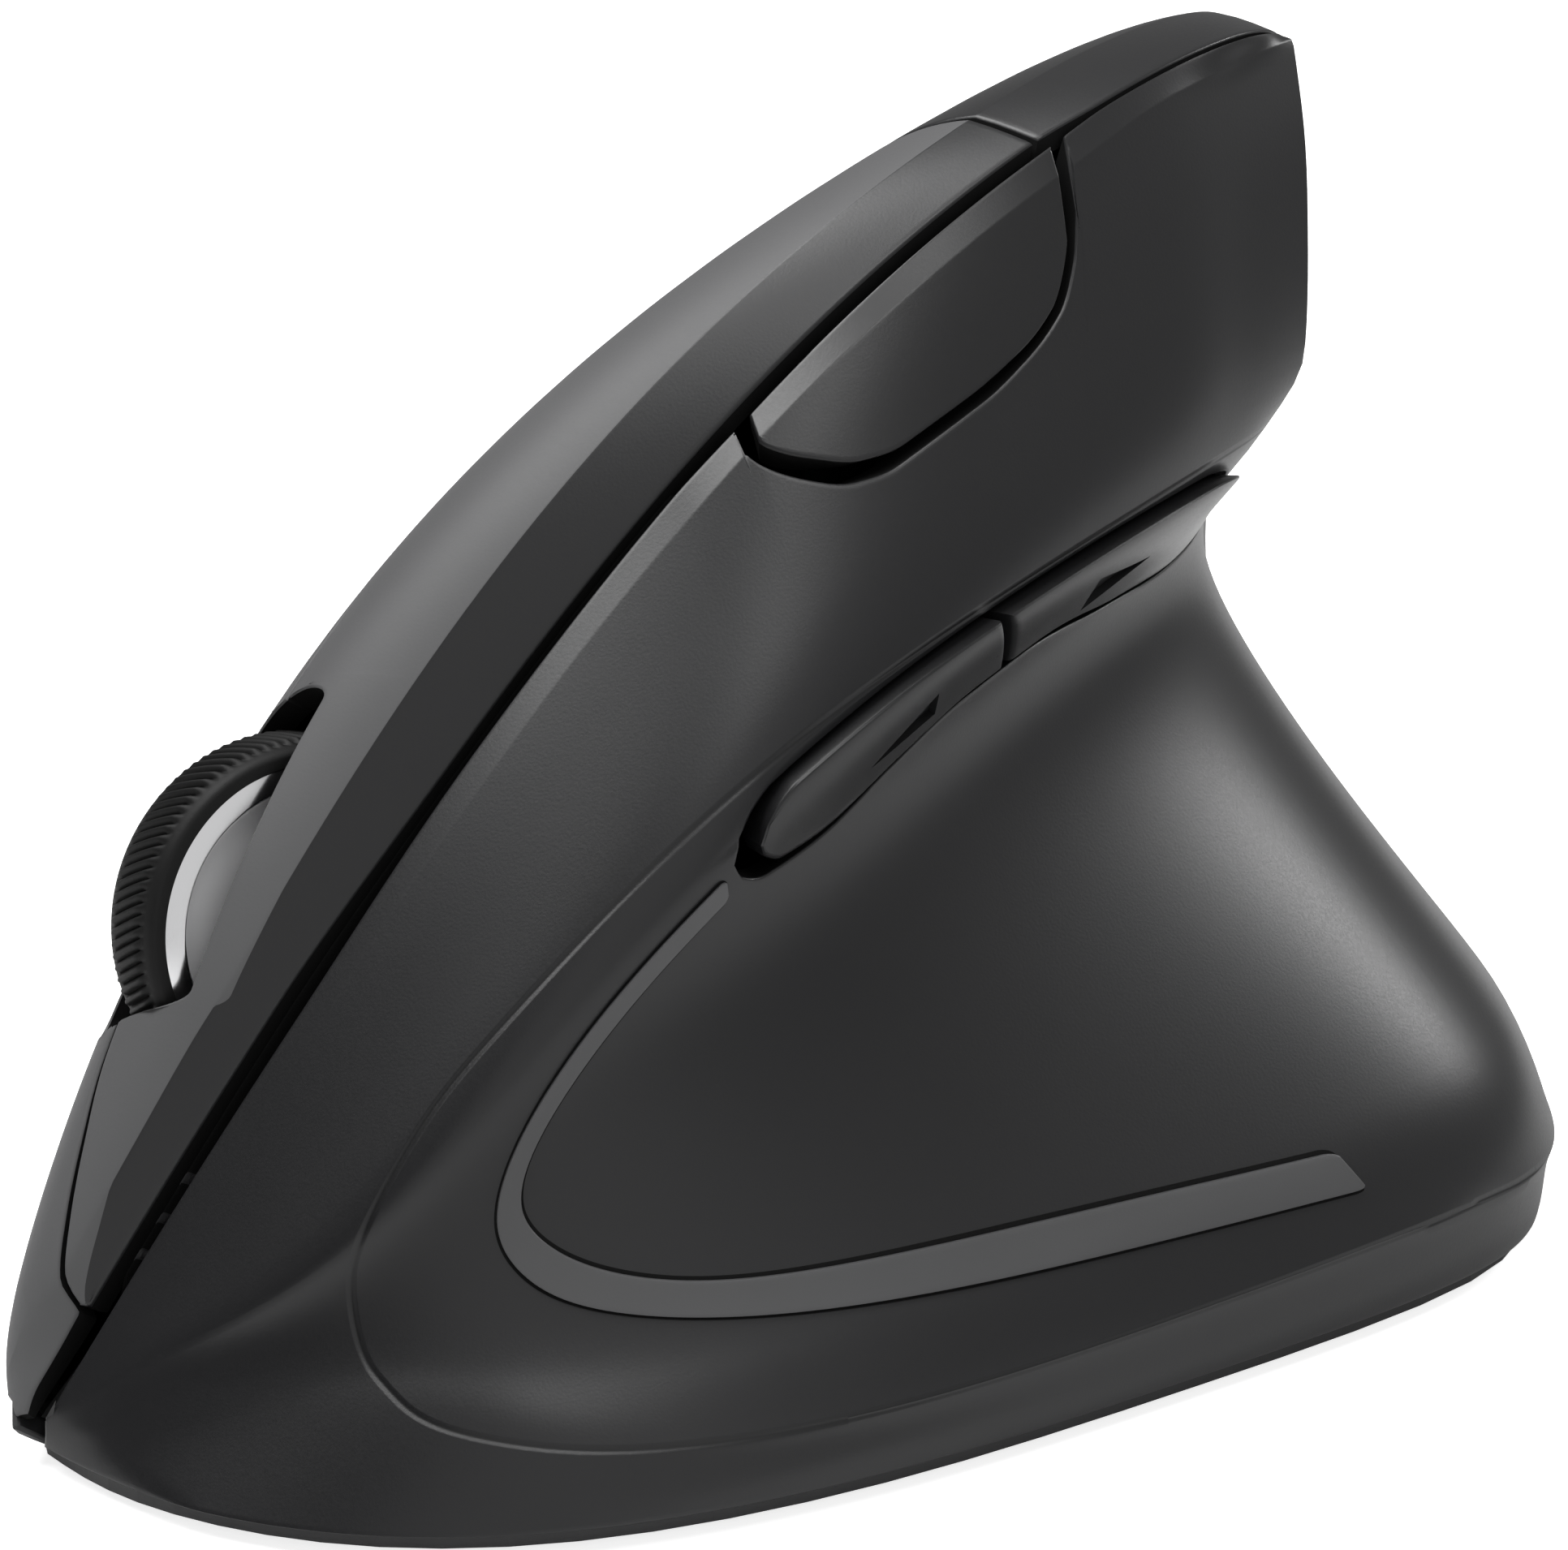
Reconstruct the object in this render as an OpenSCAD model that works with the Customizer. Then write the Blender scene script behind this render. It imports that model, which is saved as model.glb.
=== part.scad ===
// Vertical ergonomic mouse, right-handed, wireless.
// Frame: +X right (finger side), +Y forward (nose), +Z up, origin on the desk under the middle of the body.

/* [Body] */
// Overall length, nose to heel
body_length = 115; // [108:1:124]
// Overall width across the base
body_width = 66; // [62:1:72]
// Height of the spine above the desk
body_height = 75; // [71:1:82]
// Wall of the moulded shells, measured along the draw direction
shell_wall = 2.2; // [1.8:0.1:2.6]
// Open joint along the spine, ahead of the sensitivity key
spine_gap = 2; // [1.6:0.1:2.4]
// Closed joint along the spine, behind the click plates
rear_gap = 0.7; // [0.5:0.1:1]
// Joint between the two click plates, and between plate and palm shell
seam_gap = 0.6; // [0.5:0.05:0.8]
// Width of the flat bevels along the spine
bevel_w = 2.6; // [2:0.1:3.2]
// How far the bevel crease stands out from a plain rounded edge
bevel_lift = 0.55; // [0.3:0.05:0.8]

/* [Base] */
// Thickness of the glide feet
foot_t = 0.6; // [0.5:0.1:0.8]
// Thickness of the base flange that the shells stand on
flange_t = 1; // [0.8:0.1:1.4]
// Thickness of the raised floor inside the shells
floor_t = 1.4; // [1.2:0.1:2]
// How far the flange edge stays inside the shell outline
flange_inset = 0.8; // [0.5:0.1:1.2]
// Gap between the raised floor and the inner edge of the shells where they stand
floor_gap = 2.2; // [2:0.1:2.8]
// Diameter of the base screws
screw_d = 2; // [1.6:0.1:2.4]
// Diameter of the base screw heads
screw_head_d = 3.8; // [3.4:0.1:4.4]

/* [Scroll wheel] */
// Outer diameter of the tyre
wheel_d = 22.6; // [20:0.2:24]
// How far the tyre stands out of the click plates
wheel_rise = 3.6; // [3:0.1:5]
// Width of the tyre tread
tyre_w = 5.6; // [5:0.1:6.4]
// Thickness of the rubber tyre
tyre_t = 1.5; // [1.2:0.1:2]
// Diameter of the wheel axle
axle_d = 2; // [1.8:0.1:2.4]
// Radial running clearance of the axle
axle_fit = 0.03; // [0.02:0.01:0.08]
// Side clearance between the tyre and the slot in the plates
wheel_clear = 0.7; // [0.6:0.05:1]
// Travel of the middle click
wheel_travel = 0.8; // [0.6:0.1:1]

/* [Keys] */
// Clearance round the thumb keys and the sensitivity key
key_gap = 0.35; // [0.3:0.05:0.5]
// How far the thumb keys stand out of the shell
key_rise = 0.7; // [0.5:0.1:1]
// Travel of the thumb keys and the sensitivity key
key_travel = 0.5; // [0.4:0.1:0.7]
// Thickness of the metal accent strip
strip_t = 0.5; // [0.4:0.1:0.8]

/* [Electronics] */
// Thickness of the circuit boards
pcb_t = 1.2; // [1:0.1:1.6]
// Height of the main board above the floor
pcb_lift = 3; // [2.8:0.1:4]
// Battery diameter, AAA cell
battery_d = 10.5; // [10.2:0.1:10.8]
// Battery length, AAA cell
battery_l = 44.5; // [44:0.1:45]
// Height of the click micro switches
switch_h = 6; // [5.5:0.1:6.5]
// Height of the small tactile switches
tact_h = 3.5; // [3:0.1:4]
// How far every switch plunger stands out at rest
plunger_h = 0.8; // [0.7:0.05:1]
// Idle gap between a key stem and its plunger
stem_gap = 0.15; // [0.1:0.05:0.2]

/* [Hidden] */
$fn = 40;

// Guide rows of the two skins. Each row runs from the nose round the top to the heel, in 11 stations.
// The thumb skin goes from the spine down to the base, the finger skin from the spine down the other side.
guide_l = 115.2;
guide_w = 65.8;
guide_h = 75.4;
guide_mid = [0.15, -0.35];
base_z = foot_t + flange_t;
spine = [[15.3, 57.2, 3], [13.5, 52, 11], [9.6, 41.5, 26.5], [5, 27, 44.5], [0.5, 8, 62],
    [-3.2, -14, 73.5], [-5.2, -33.5, 77], [2, -43, 70], [11, -48.5, 49], [16, -53.5, 26],
    [17, -57.3, 3]];
upper_panel = [[15.4, 57.1, 2.9], [12.4, 53, 10], [6.5, 43, 23.5], [-0.5, 29, 40.5], [-5, 10.5, 55],
    [-7.5, -11, 63.5], [-8.2, -31.5, 67], [-0.5, -40, 65], [12, -46.5, 46], [15, -53, 24.5],
    [17, -57.4, 2.9]];
lower_panel = [[15.5, 57, 2.8], [11.6, 53.6, 9.1], [2.5, 45, 19.5], [-5.2, 30.5, 37],
    [-9.5, 13, 48.5], [-10.5, -8, 54.5], [-10.5, -29, 58], [-2.5, -38, 58], [12.5, -44.5, 43],
    [14, -52.5, 23], [17, -57.5, 2.8]];
crease = [[15.6, 56.9, 2.7], [10.9, 54.2, 8.2], [-2.1, 48, 14.9], [-8.3, 32, 33.5], [-12, 15, 42.5],
    [-12, -5.5, 47.5], [-11, -28, 51], [-2.5, -36.5, 50.5], [12, -43, 40], [13, -52, 21.5],
    [17, -57.6, 2.7]];
under_crease = [[15.7, 56.8, 2.6], [10.4, 54.8, 7.4], [-2, 47.2, 14], [-7.8, 33.5, 28.5],
    [-10.8, 16.5, 37], [-9, -4, 42], [-6, -23.5, 44.5], [1, -31.5, 44], [10.5, -42.5, 36],
    [12, -51.5, 19.5], [17, -57.7, 2.6]];
waist = [[15.8, 56.7, 2.5], [9.9, 55.3, 6.5], [-2.6, 46.6, 13], [-8, 35.5, 22], [-11, 18.5, 30],
    [-9.5, -2, 36], [-6.5, -22.5, 38.5], [-1, -31, 38], [7.5, -42.5, 31], [10.5, -51.5, 17],
    [17, -57.8, 2.5]];
upper_slope = [[15.9, 56.6, 2.4], [9.4, 55.8, 5.6], [-3.6, 46.4, 11.8], [-9.5, 38.5, 14.5],
    [-15, 21.5, 19.5], [-16.5, 0.5, 25], [-16, -23, 28], [-9, -32.5, 28], [0, -43, 23],
    [7.5, -52.5, 13.5], [17, -57.9, 2.4]];
lower_slope = [[16, 56.5, 2.2], [8.9, 56.4, 4.5], [-4.6, 46.8, 10.6], [-12.5, 41, 8.5],
    [-21, 24, 10], [-25.5, 2, 13], [-28.5, -24, 17.5], [-18, -34, 19], [-10, -43.5, 15], [4, -54, 9],
    [17, -57.9, 2.2]];
lip = [[16.2, 56.3, 1.9], [8.4, 57.1, 3], [-5.5, 47.5, 9.5], [-15.5, 43, 6], [-25, 25.5, 6],
    [-30, 3, 6.8], [-36.5, -25, 9], [-28.5, -35, 9.5], [-16, -45.5, 8.5], [1.5, -55, 5],
    [17, -58, 1.9]];
thumb_base = [[16.5, 56, base_z], [8, 57.8, base_z], [-5, 54.5, base_z], [-16.5, 44.5, base_z],
    [-24.5, 26, base_z], [-28.8, 3, base_z], [-33.5, -24, base_z], [-27, -34, base_z],
    [-15.5, -45, base_z], [1.5, -55, base_z], [17, -58, base_z]];
finger_top = [[16.2, 57.6, 2.8], [17.5, 54.6, 11], [16.5, 46, 27.5], [14.5, 33, 47], [10.5, 13, 63],
    [7, -12, 72.5], [6, -33, 76], [10, -44, 69], [15, -51.5, 49], [18, -55.5, 26],
    [17.6, -57.8, 3]];
finger_side = [[17, 57.5, 2.4], [20.5, 54.2, 9], [22, 46.5, 24], [22.5, 32.5, 40], [21.5, 12, 54],
    [20.5, -12, 60], [20, -34, 61], [20.5, -47.5, 55], [21.5, -54.5, 40], [20.5, -57.5, 21],
    [18, -58, 2.6]];
palm_side = [[17.3, 57, 2.2], [22.3, 52.6, 6], [26.8, 42.5, 14], [29.4, 27, 24], [30.4, 8, 33],
    [30.4, -13, 38.5], [29.6, -35, 38], [27.8, -49.3, 33], [25.4, -56.2, 24], [21.8, -57.8, 13],
    [18, -58.2, 2.3]];
palm_low = [[17.3, 56.7, 1.9], [22.4, 52, 3], [27.8, 41, 6], [31.9, 25, 10], [33.6, 6, 14],
    [33.6, -14, 16.5], [32.8, -36, 16.5], [30, -49.6, 14.5], [26.2, -56.8, 11], [21.8, -58.4, 6.5],
    [18, -58.3, 1.9]];
finger_base = [[16.5, 56, base_z], [22.1, 52, base_z], [27.4, 40.8, base_z], [31.2, 24.5, base_z],
    [32.8, 5, base_z], [32.8, -15, base_z], [32, -36, base_z], [29, -49.4, base_z],
    [24.8, -56.2, base_z], [19.8, -57.8, base_z], [17, -58, base_z]];

function sized(row) = [for (p = row) [(p.x - guide_mid.x) * body_width / guide_w,
    (p.y - guide_mid.y) * body_length / guide_l,
    base_z + (p.z - base_z) * (body_height - base_z) / (guide_h - base_z)]];
thumb_rows = [for (r = [spine, upper_panel, lower_panel, crease, under_crease, waist, upper_slope,
    lower_slope, lip, thumb_base]) sized(r)];
finger_rows = [for (r = [spine, finger_top, finger_side, palm_side, palm_low, finger_base]) sized(r)];

// Smooth curve through a row: cubic blending, with the first and last points kept as ends
function blend(f) = let (f2 = f * f, f3 = f2 * f)
    [pow(1 - f, 3), 3 * f3 - 6 * f2 + 4, 3 * (f2 + f - f3) + 1, f3] / 6;
function beyond(a, i) = 2 * a[i] - a[i > 0 ? i - 1 : 1];
function point(a, i) = i < 0 ? beyond(a, 0) : i >= len(a) ? beyond(a, len(a) - 1) : a[i];
function curve(a, t) = let (i = min(floor(t), len(a) - 2))
    blend(t - i) * [for (k = [-1:2]) point(a, i + k)];
function skin(rows, u, v) = let (j = min(floor(v), len(rows) - 2), n = len(rows) - 1,
    near = [for (k = [max(j - 1, 0):min(j + 2, n)]) curve(rows[k], u)])
    blend(v - j) * concat(j < 1 ? [beyond(near, 0)] : [], near,
        j > n - 2 ? [beyond(near, len(near) - 1)] : []);

function unit(p) = p / norm(p);
function smooth(t) = let (c = min(max(t, 0), 1)) c * c * (3 - 2 * c);
function mix(a, b, t) = a + (b - a) * t;
function is_thumb(rows) = len(rows) == len(thumb_rows);
last_thumb = len(thumb_rows) - 1;
last_finger = len(finger_rows) - 1;

// Draw direction of the mouldings: inward, turning from down at the spine to sideways, level at the base
core_y = 45;
function thumb_draw(w, level, y) = unit([0.98 * w + 0.1, y, -(0.9 - 0.8 * w) * level]);
function finger_draw(w, level, y) = unit([-0.9 * w - 0.05, y, -(0.8 - 0.45 * w) * level]);
function side_draw(rows, v, y) = is_thumb(rows) ? thumb_draw(smooth(v / 1.6), 1 - smooth((v - 7) / 2), y)
    : finger_draw(smooth(v / 3), 1 - smooth((v - 3.5) / 1.5), y);
// At the heel both shells draw straight forward, so that their walls meet without crossing
heel_fade = [0.4, 0.09];
function heel(y) = smooth((-y / body_length - heel_fade[0]) / heel_fade[1]);
function inward(rows, v, p) = unit(mix(side_draw(rows, v, -p.y / core_y), [0, 1, 0], heel(p.y)));

// Length along the skin of one row step, to turn millimetres into row steps
function row_step(rows, u, v) = norm(skin(rows, u, v + 0.1) - skin(rows, u, v)) / 0.1;
// Raised crease of the spine bevel at distance d from the spine
bevel_fade = 12;
function bevel(u, d) = bevel_lift * smooth((u - 0.6) / 1.6) * (1 - smooth((u - 7) / 2))
    * (d < bevel_w ? d / bevel_w : 1 - smooth((d - bevel_w) / bevel_fade));
function at(rows, u, v, depth) = let (p = skin(rows, u, v)) p + inward(rows, v, p) * depth;
function face_at(rows, u, v, depth) = at(rows, u, v, depth - bevel(u, v * row_step(rows, u, 0)));

// Edges of the panels, as row steps at each station
function spine_half(u) = lookup(u, [[0, spine_gap / 2], [2, spine_gap / 2], [2.8, spine_gap / 3],
    [4.9, spine_gap / 3], [5.2, rear_gap / 2], [9.4, rear_gap / 2], [10, rear_gap / 4]]);
function spine_edge(rows, u) = min(spine_half(u) / row_step(rows, u, 0), len(rows) - 1.6);
seam_path = [[0.7, 0.12], [0.76, 0.32], [0.9, 0.66], [1.2, 0.95], [1.5, 1.18], [1.8, 1.4],
    [1.95, 1.44], [2.9, 1.45], [3.2, 1.52], [3.5, 1.6], [5, 1.6]];
function seam(u) = lookup(u, seam_path);
function half_gap(u, v) = seam_gap / 2 / row_step(finger_rows, u, v);
plate_wall = 0.8 * shell_wall;
plate_end = 4.95;
nose_end = 0.72;
function plate_low(u) = lookup(u, [[0, 3.3], [0.7, 3.5], [1.5, 3.1], [2.5, 2.75], [5, 2.6]]);
// The joint under the right plate opens towards the nose, where the plate moves most
plate_drop = 0.9;
function drop(u) = plate_drop * lookup(u, [[0.7, 1], [2.5, 0.6], [4.9, 0]]);
function palm_high(u) = plate_low(u) + (seam_gap + drop(u)) / row_step(finger_rows, u, plate_low(u));
palm_start = 0.75;
crown_cells = 7;
flank_cells = 8;

// Solid between two equal grids of points, with an optional block of cells left open
function two(a, b, c, d, flip) = flip ? [[a, b, c], [a, c, d]] : [[a, c, b], [a, d, c]];
module slab(outer, inner, flip, open = [0, 0, 0, 0]) {
    nu = len(outer) - 1;
    nv = len(outer[0]) - 1;
    n = (nu + 1) * (nv + 1);
    function id(i, j) = i * (nv + 1) + j;
    function solid(i, j) = i < open[0] || i >= open[1] || j < open[2] || j >= open[3];
    function cell(m, i, j, turn) = let (a = m + id(i, j), b = m + id(i + 1, j)) two(a, b, b + 1, a + 1, turn);
    function wall(a, b) = two(a, b, n + b, n + a, flip);
    has_open = open[1] > open[0];
    open_u = has_open ? [for (i = [open[0]:open[1] - 1]) i] : [];
    open_v = has_open ? [for (j = [open[2]:open[3] - 1]) j] : [];
    cells = [for (i = [0:nu - 1], j = [0:nv - 1]) if (solid(i, j)) [i, j]];
    points = concat([for (r = outer) each r], [for (r = inner) each r]);
    polyhedron(points = points, faces = concat(
        [for (c = cells) each cell(0, c[0], c[1], flip)],
        [for (c = cells) each cell(n, c[0], c[1], !flip)],
        [for (i = [0:nu - 1]) if (solid(i, 0)) each wall(id(i + 1, 0), id(i, 0))],
        [for (i = [0:nu - 1]) if (solid(i, nv - 1)) each wall(id(i, nv), id(i + 1, nv))],
        [for (j = [0:nv - 1]) if (solid(0, j)) each wall(id(0, j), id(0, j + 1))],
        [for (j = [0:nv - 1]) if (solid(nu - 1, j)) each wall(id(nu, j + 1), id(nu, j))],
        [for (i = open_u) if (open[3] < nv) each wall(id(i + 1, open[3]), id(i, open[3]))],
        [for (i = open_u) if (open[2] > 0) each wall(id(i, open[2]), id(i + 1, open[2]))],
        [for (j = open_v) if (open[1] < nu) each wall(id(open[1], j), id(open[1], j + 1))],
        [for (j = open_v) if (open[0] > 0) each wall(id(open[0], j + 1), id(open[0], j))]));
}
// Moulded panel over a grid of stations and rows, from one depth under the skin to another
function thin(u) = lookup(u, [[0, 0.5], [0.8, 1], [8.6, 1], [9.6, 0.6], [10, 0.5]]);
module panel(rows, grid, top, bottom, open = [0, 0, 0, 0]) {
    slab([for (line = grid) [for (g = line) face_at(rows, g[0], g[1], top)]],
        [for (line = grid) [for (g = line) at(rows, g[0], g[1], bottom * thin(g[0]))]],
        is_thumb(rows), open);
}
function steps(a, b, n) = [for (i = [0:n]) mix(a, b, i / n)];
function column(u, low, high, n) = [for (v = steps(low, high, n)) [u, v]];
function palm_column(u) = let (edge = palm_high(u))
    concat(column(u, spine_edge(finger_rows, u), edge, crown_cells),
    [for (k = [1:flank_cells]) [u, mix(edge, last_finger, k / flank_cells)]]);

// Wheel frame: origin at the wheel centre, x along the axle, y down to the nose, z out of the plates
wheel_turn = [-53, 9, -15];
wheel_station = 2.42;
wheel_r = wheel_d / 2;
function turn_x(p, a) = [p.x, p.y * cos(a) - p.z * sin(a), p.y * sin(a) + p.z * cos(a)];
function turn_y(p, a) = [p.x * cos(a) + p.z * sin(a), p.y, -p.x * sin(a) + p.z * cos(a)];
function turn_z(p, a) = [p.x * cos(a) - p.y * sin(a), p.x * sin(a) + p.y * cos(a), p.z];
function wheel_dir(p) = turn_z(turn_y(turn_x(p, wheel_turn.x), wheel_turn.y), wheel_turn.z);
wheel_x = wheel_dir([1, 0, 0]);
wheel_y = wheel_dir([0, 1, 0]);
wheel_z = wheel_dir([0, 0, 1]);
wheel_pos = skin(finger_rows, wheel_station, seam(wheel_station)) - wheel_z * (wheel_r - wheel_rise);
function in_wheel(p) = [(p - wheel_pos) * wheel_x, (p - wheel_pos) * wheel_y, (p - wheel_pos) * wheel_z];
module wheel_frame() { translate(wheel_pos) rotate(wheel_turn) children(); }

// Opening in the plates round the wheel
slot_half = sqrt(wheel_r * wheel_r - pow(wheel_r - wheel_rise - plate_wall, 2)) + 3.3 * wheel_clear;
station_step = norm(skin(finger_rows, 2.9, 1.5) - skin(finger_rows, 1.9, 1.5));
slot_end = slot_half / station_step;
slot_skew = 0.05;
slot_corner = 0.06;
function slot_mid(s) = wheel_station + s * slot_skew;
function slot_round(u, s) = sqrt(min(max((1 - abs(u - slot_mid(s)) / slot_end) / slot_corner, 0), 1));
function slot_edge(u, s, a = 0, b = 3, n = 14) = let (m = (a + b) / 2) n == 0 ? m
    : in_wheel(at(finger_rows, u, m, plate_wall)).x > (s > 0 ? slot_w[1] : -slot_w[0])
    ? slot_edge(u, s, a, m, n - 1) : slot_edge(u, s, m, b, n - 1);
function seam_side(u, s) = mix(seam(u) + s * half_gap(u, seam(u)), slot_edge(u, s), slot_round(u, s));
slot_fine = [-1, -0.985, -0.94, -0.6, -0.2, 0.2, 0.6, 0.94, 0.985, 1];
function slot_u(s) = [for (t = slot_fine) slot_mid(s) + t * slot_end];
function plate_u(s) = let (a = slot_mid(s) - slot_end, b = slot_mid(s) + slot_end)
    concat(steps(0.9, a - 0.08, 5), slot_u(s), steps(b + 0.08, plate_end - 0.02, 10));

// Wheel unit, in the wheel frame: a cradle of two arms and a bar, on a board with a cut-out for the wheel
hub_w = tyre_w;
arm_gap = 0.2;
arm_t = 1.1;
arm_clear = 0.35;
arm_in = hub_w / 2 + arm_gap;
arm_out = arm_in + arm_t;
slot_w = [tyre_w / 2 + wheel_clear, arm_out + arm_clear];
arm_boss = axle_d / 2 + 0.5;
boss_wall = 1.5;
tread_c = 0.7;
rim_w = hub_w - 1.6;
rim_in = wheel_r - tyre_t - 1.8;
web_t = 2.4;
slit_r = 5.2;
slit_d = 1.6;
lever_t = 1.6;
bar_w = 2.4;
bar_y = wheel_r + 0.5;
middle_at = [0, bar_y + bar_w / 2];
arm_low = -5.5;
board_top = arm_low - stem_gap - plunger_h - tact_h;
board_low = board_top - pcb_t;
deck_pad = 1.5;
deck_t = 1.8;
deck_top = board_low - deck_pad;
deck_low = deck_top - deck_t;
board_x = [-7.5, 8];
board_y = [-25.5, 17.5];
cut_half = [hub_w / 2 + 0.6, wheel_r - 1];
encoder_t = 2.4;
encoder_high = -1.2;
click_size = [5.8, 12.8];
guide_gap = 0.2;
guide_t = 1.6;
guide_y = [2.5, 9];
guide_high = -3;
click_high = board_top + switch_h;
post_d = 2.4;
left_post = in_wheel(at(finger_rows, 3.08, 0.72, shell_wall / 2));
right_post = in_wheel(at(finger_rows, 3.3, 1.7, shell_wall / 2));
screw_x = [board_x[0] + 2.2, board_x[1] - 2.2];
screw_places = [for (x = screw_x) [x, board_y[1] - 3]];
pad_places = [for (x = screw_x) [x, board_y[0] + 3]];

// Levels over the desk
floor_top = base_z + floor_t;
pcb_low = floor_top + pcb_lift;
pcb_top = pcb_low + pcb_t;
pcb_x = [-17, -3];
pcb_y = [-11, 31];
pcb_bosses = [[-14.5, -8.5], [-5.5, 28.5]];
boss_d = 4.6;
sensor_at = [-10, 13];
sensor_size = [10, 10];
sensor_h = 2.6;
lens_size = [12, 9];
lens_d = 6;
led_at = sensor_at + [0, 8.5];
led_d = 3;
led_h = 4;
shield_at = sensor_at - [0, 13];
shield_size = [9, 10];
shield_h = 2;
power_at = [-13, 25];
power_throw = 3;
power_mid = power_at + [0, power_throw / 2];
power_body = [5, 9];
knob = [2.4, 2.4];
knob_high = floor_top + 0.4;

// Battery bay
cell_gap = 0.8;
cell_clear = 0.3;
contact_zone = 2.6;
contact_t = 0.4;
contact_w = 8;
nub_d = 3.8;
nub_h = 1;
tray_wall = 1.2;
tray_at = [11.5, -18.5];
bay_w = 2 * battery_d + cell_gap + 2 * cell_clear;
bay_l = battery_l + 2 * contact_zone;
cell_x = [-(battery_d + cell_gap) / 2, (battery_d + cell_gap) / 2];
slide_gap = 0.2;
door_t = flange_t - 0.05;
door_w = bay_w + 2 * tray_wall + 2;
door_front = tray_at.y + bay_l / 2 + 2;
tongue = [1.2, 0.4];
tongue_low = foot_t + 0.4;
cell_z = foot_t + door_t + cell_clear + battery_d / 2;
tray_roof = cell_z + battery_d / 2 + cell_clear;
tray_top = tray_roof + tray_wall;

// Receiver pocket
receiver_at = [-11, -21];
receiver_head = [6.4, 14.4, 6];
receiver_plug = [4.5, 12, 12];
pocket_gap = 0.2;
pocket_wall = 1.2;
receiver_low = foot_t + 0.1;

// Thumb side board: tactile switches face the shell along -X
side_x = 2.4;
bracket_t = 1.6;
tact_w = 5;
tact_size = [tact_w, tact_w];
plunger_d = 2.4;
plunger_fit = 0.1;
plunger_in = 1.2;
stem_d = 2.2;
forward_stem = at(thumb_rows, 4.15, 3.45, shell_wall / 2);
back_stem = at(thumb_rows, 5.45, 3.6, shell_wall / 2);
dpi_stem = at(thumb_rows, 4.5, 0.98, shell_wall / 2);
stem_end = side_x - tact_h - plunger_h - stem_gap;
side_y = [back_stem.y - 10, forward_stem.y + 4.5];
side_z = [forward_stem.z - 5, back_stem.z + 3.5];
tab_half = 4;
bracket_front = 4;
bracket_foot = 8;

// Thumb key slot and sensitivity key, as stations and rows
function slot_high(u) = lookup(u, [[3.55, 3.3], [3.6, 3.05], [3.68, 2.94], [4.3, 2.9], [5, 2.98],
    [5.8, 3.15], [6.35, 3.45], [6.5, 3.7]]);
function slot_low(u) = lookup(u, [[3.55, 3.5], [3.62, 3.8], [3.75, 4.02], [4, 4.1], [4.3, 3.95],
    [4.6, 3.82], [4.9, 3.82], [5.4, 4.05], [5.9, 4.2], [6.35, 4.15], [6.5, 3.95]]);
function dpi_edge(u) = lookup(u, [[3.82, 0.15], [3.88, 0.43], [4, 0.75], [4.15, 1.03], [4.3, 1.15],
    [4.55, 1.17], [4.75, 1.12], [4.88, 1], [4.95, 0.75], [4.98, 0.45]]);
dpi_span = [3.86, 4.96];
dpi_gap = 2 * key_gap;
notch_span = [3.81, 5.01];
function in_notch(u) = u > notch_span[0] && u < notch_span[1];
notch_reach = 0.035;
function notch_edge(u) = in_notch(u) ? dpi_gap / row_step(thumb_rows, u, 1)
    + max([for (k = [-1:1]) dpi_edge(u + k * notch_reach)]) : 0;
function shell_edge(u) = max(spine_edge(thumb_rows, u), notch_edge(u));
slot_stations = [3.56, 3.6, 3.66, 3.74, 3.8, 3.84, 3.9, 4, 4.15, 4.3, 4.45, 4.6, 4.75, 4.86, 4.93,
    4.97, 4.99, 5.02, 5.2, 5.4, 5.6, 5.8, 6, 6.15, 6.3, 6.42, 6.5];
dpi_stations = concat(steps(dpi_span[0], 4.3, 5), steps(4.45, 4.88, 4), [4.93, dpi_span[1]]);
front_stations = steps(0.14, 3.46, 16);
tail_end = 9.95;
rear_stations = steps(6.65, tail_end, 15);
shell_stations = concat(front_stations, slot_stations, rear_stations);
panel_cells = 7;
slot_cells = 3;
scoop_cells = 13;
function shell_column(u) = concat(column(u, shell_edge(u), slot_high(u), panel_cells),
    [for (k = [1:slot_cells]) [u, mix(slot_high(u), slot_low(u), k / slot_cells)]],
    [for (k = [1:scoop_cells]) [u, mix(slot_low(u), last_thumb, k / scoop_cells)]]);
function key_column(u) = let (g = key_gap / row_step(thumb_rows, u, 3.5))
    column(u, slot_high(u) + g, slot_low(u) - g, 4);
key_wall = 0.6 * shell_wall;
key_split = 4.72;
key_end_gap = 0.03;

// Accent strip edges, from the arm under the thumb keys round the bend to the heel
strip_outer = [[3.5, 3.7], [3, 3.85], [2.7, 4.4], [2.58, 5.3], [2.75, 6.05], [3.05, 6.52],
    [3.7, 6.95], [4.65, 7.32], [5.5, 7.7]];
strip_inner = [[3.5, 3.85], [3.14, 4.1], [2.8, 4.6], [2.69, 5.3], [2.92, 5.98], [3.3, 6.43],
    [3.75, 6.7], [4.65, 7], [5.45, 7.38]];
strip_lift = 0.12;
strip_rings = 48;

// Outline of the underside
outline = concat([for (u = steps(0, 10, 40)) let (p = skin(thumb_rows, u, last_thumb)) [p.x, p.y]],
    [for (u = steps(9.75, 0.25, 38)) let (p = skin(finger_rows, u, last_finger)) [p.x, p.y]]);

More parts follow.
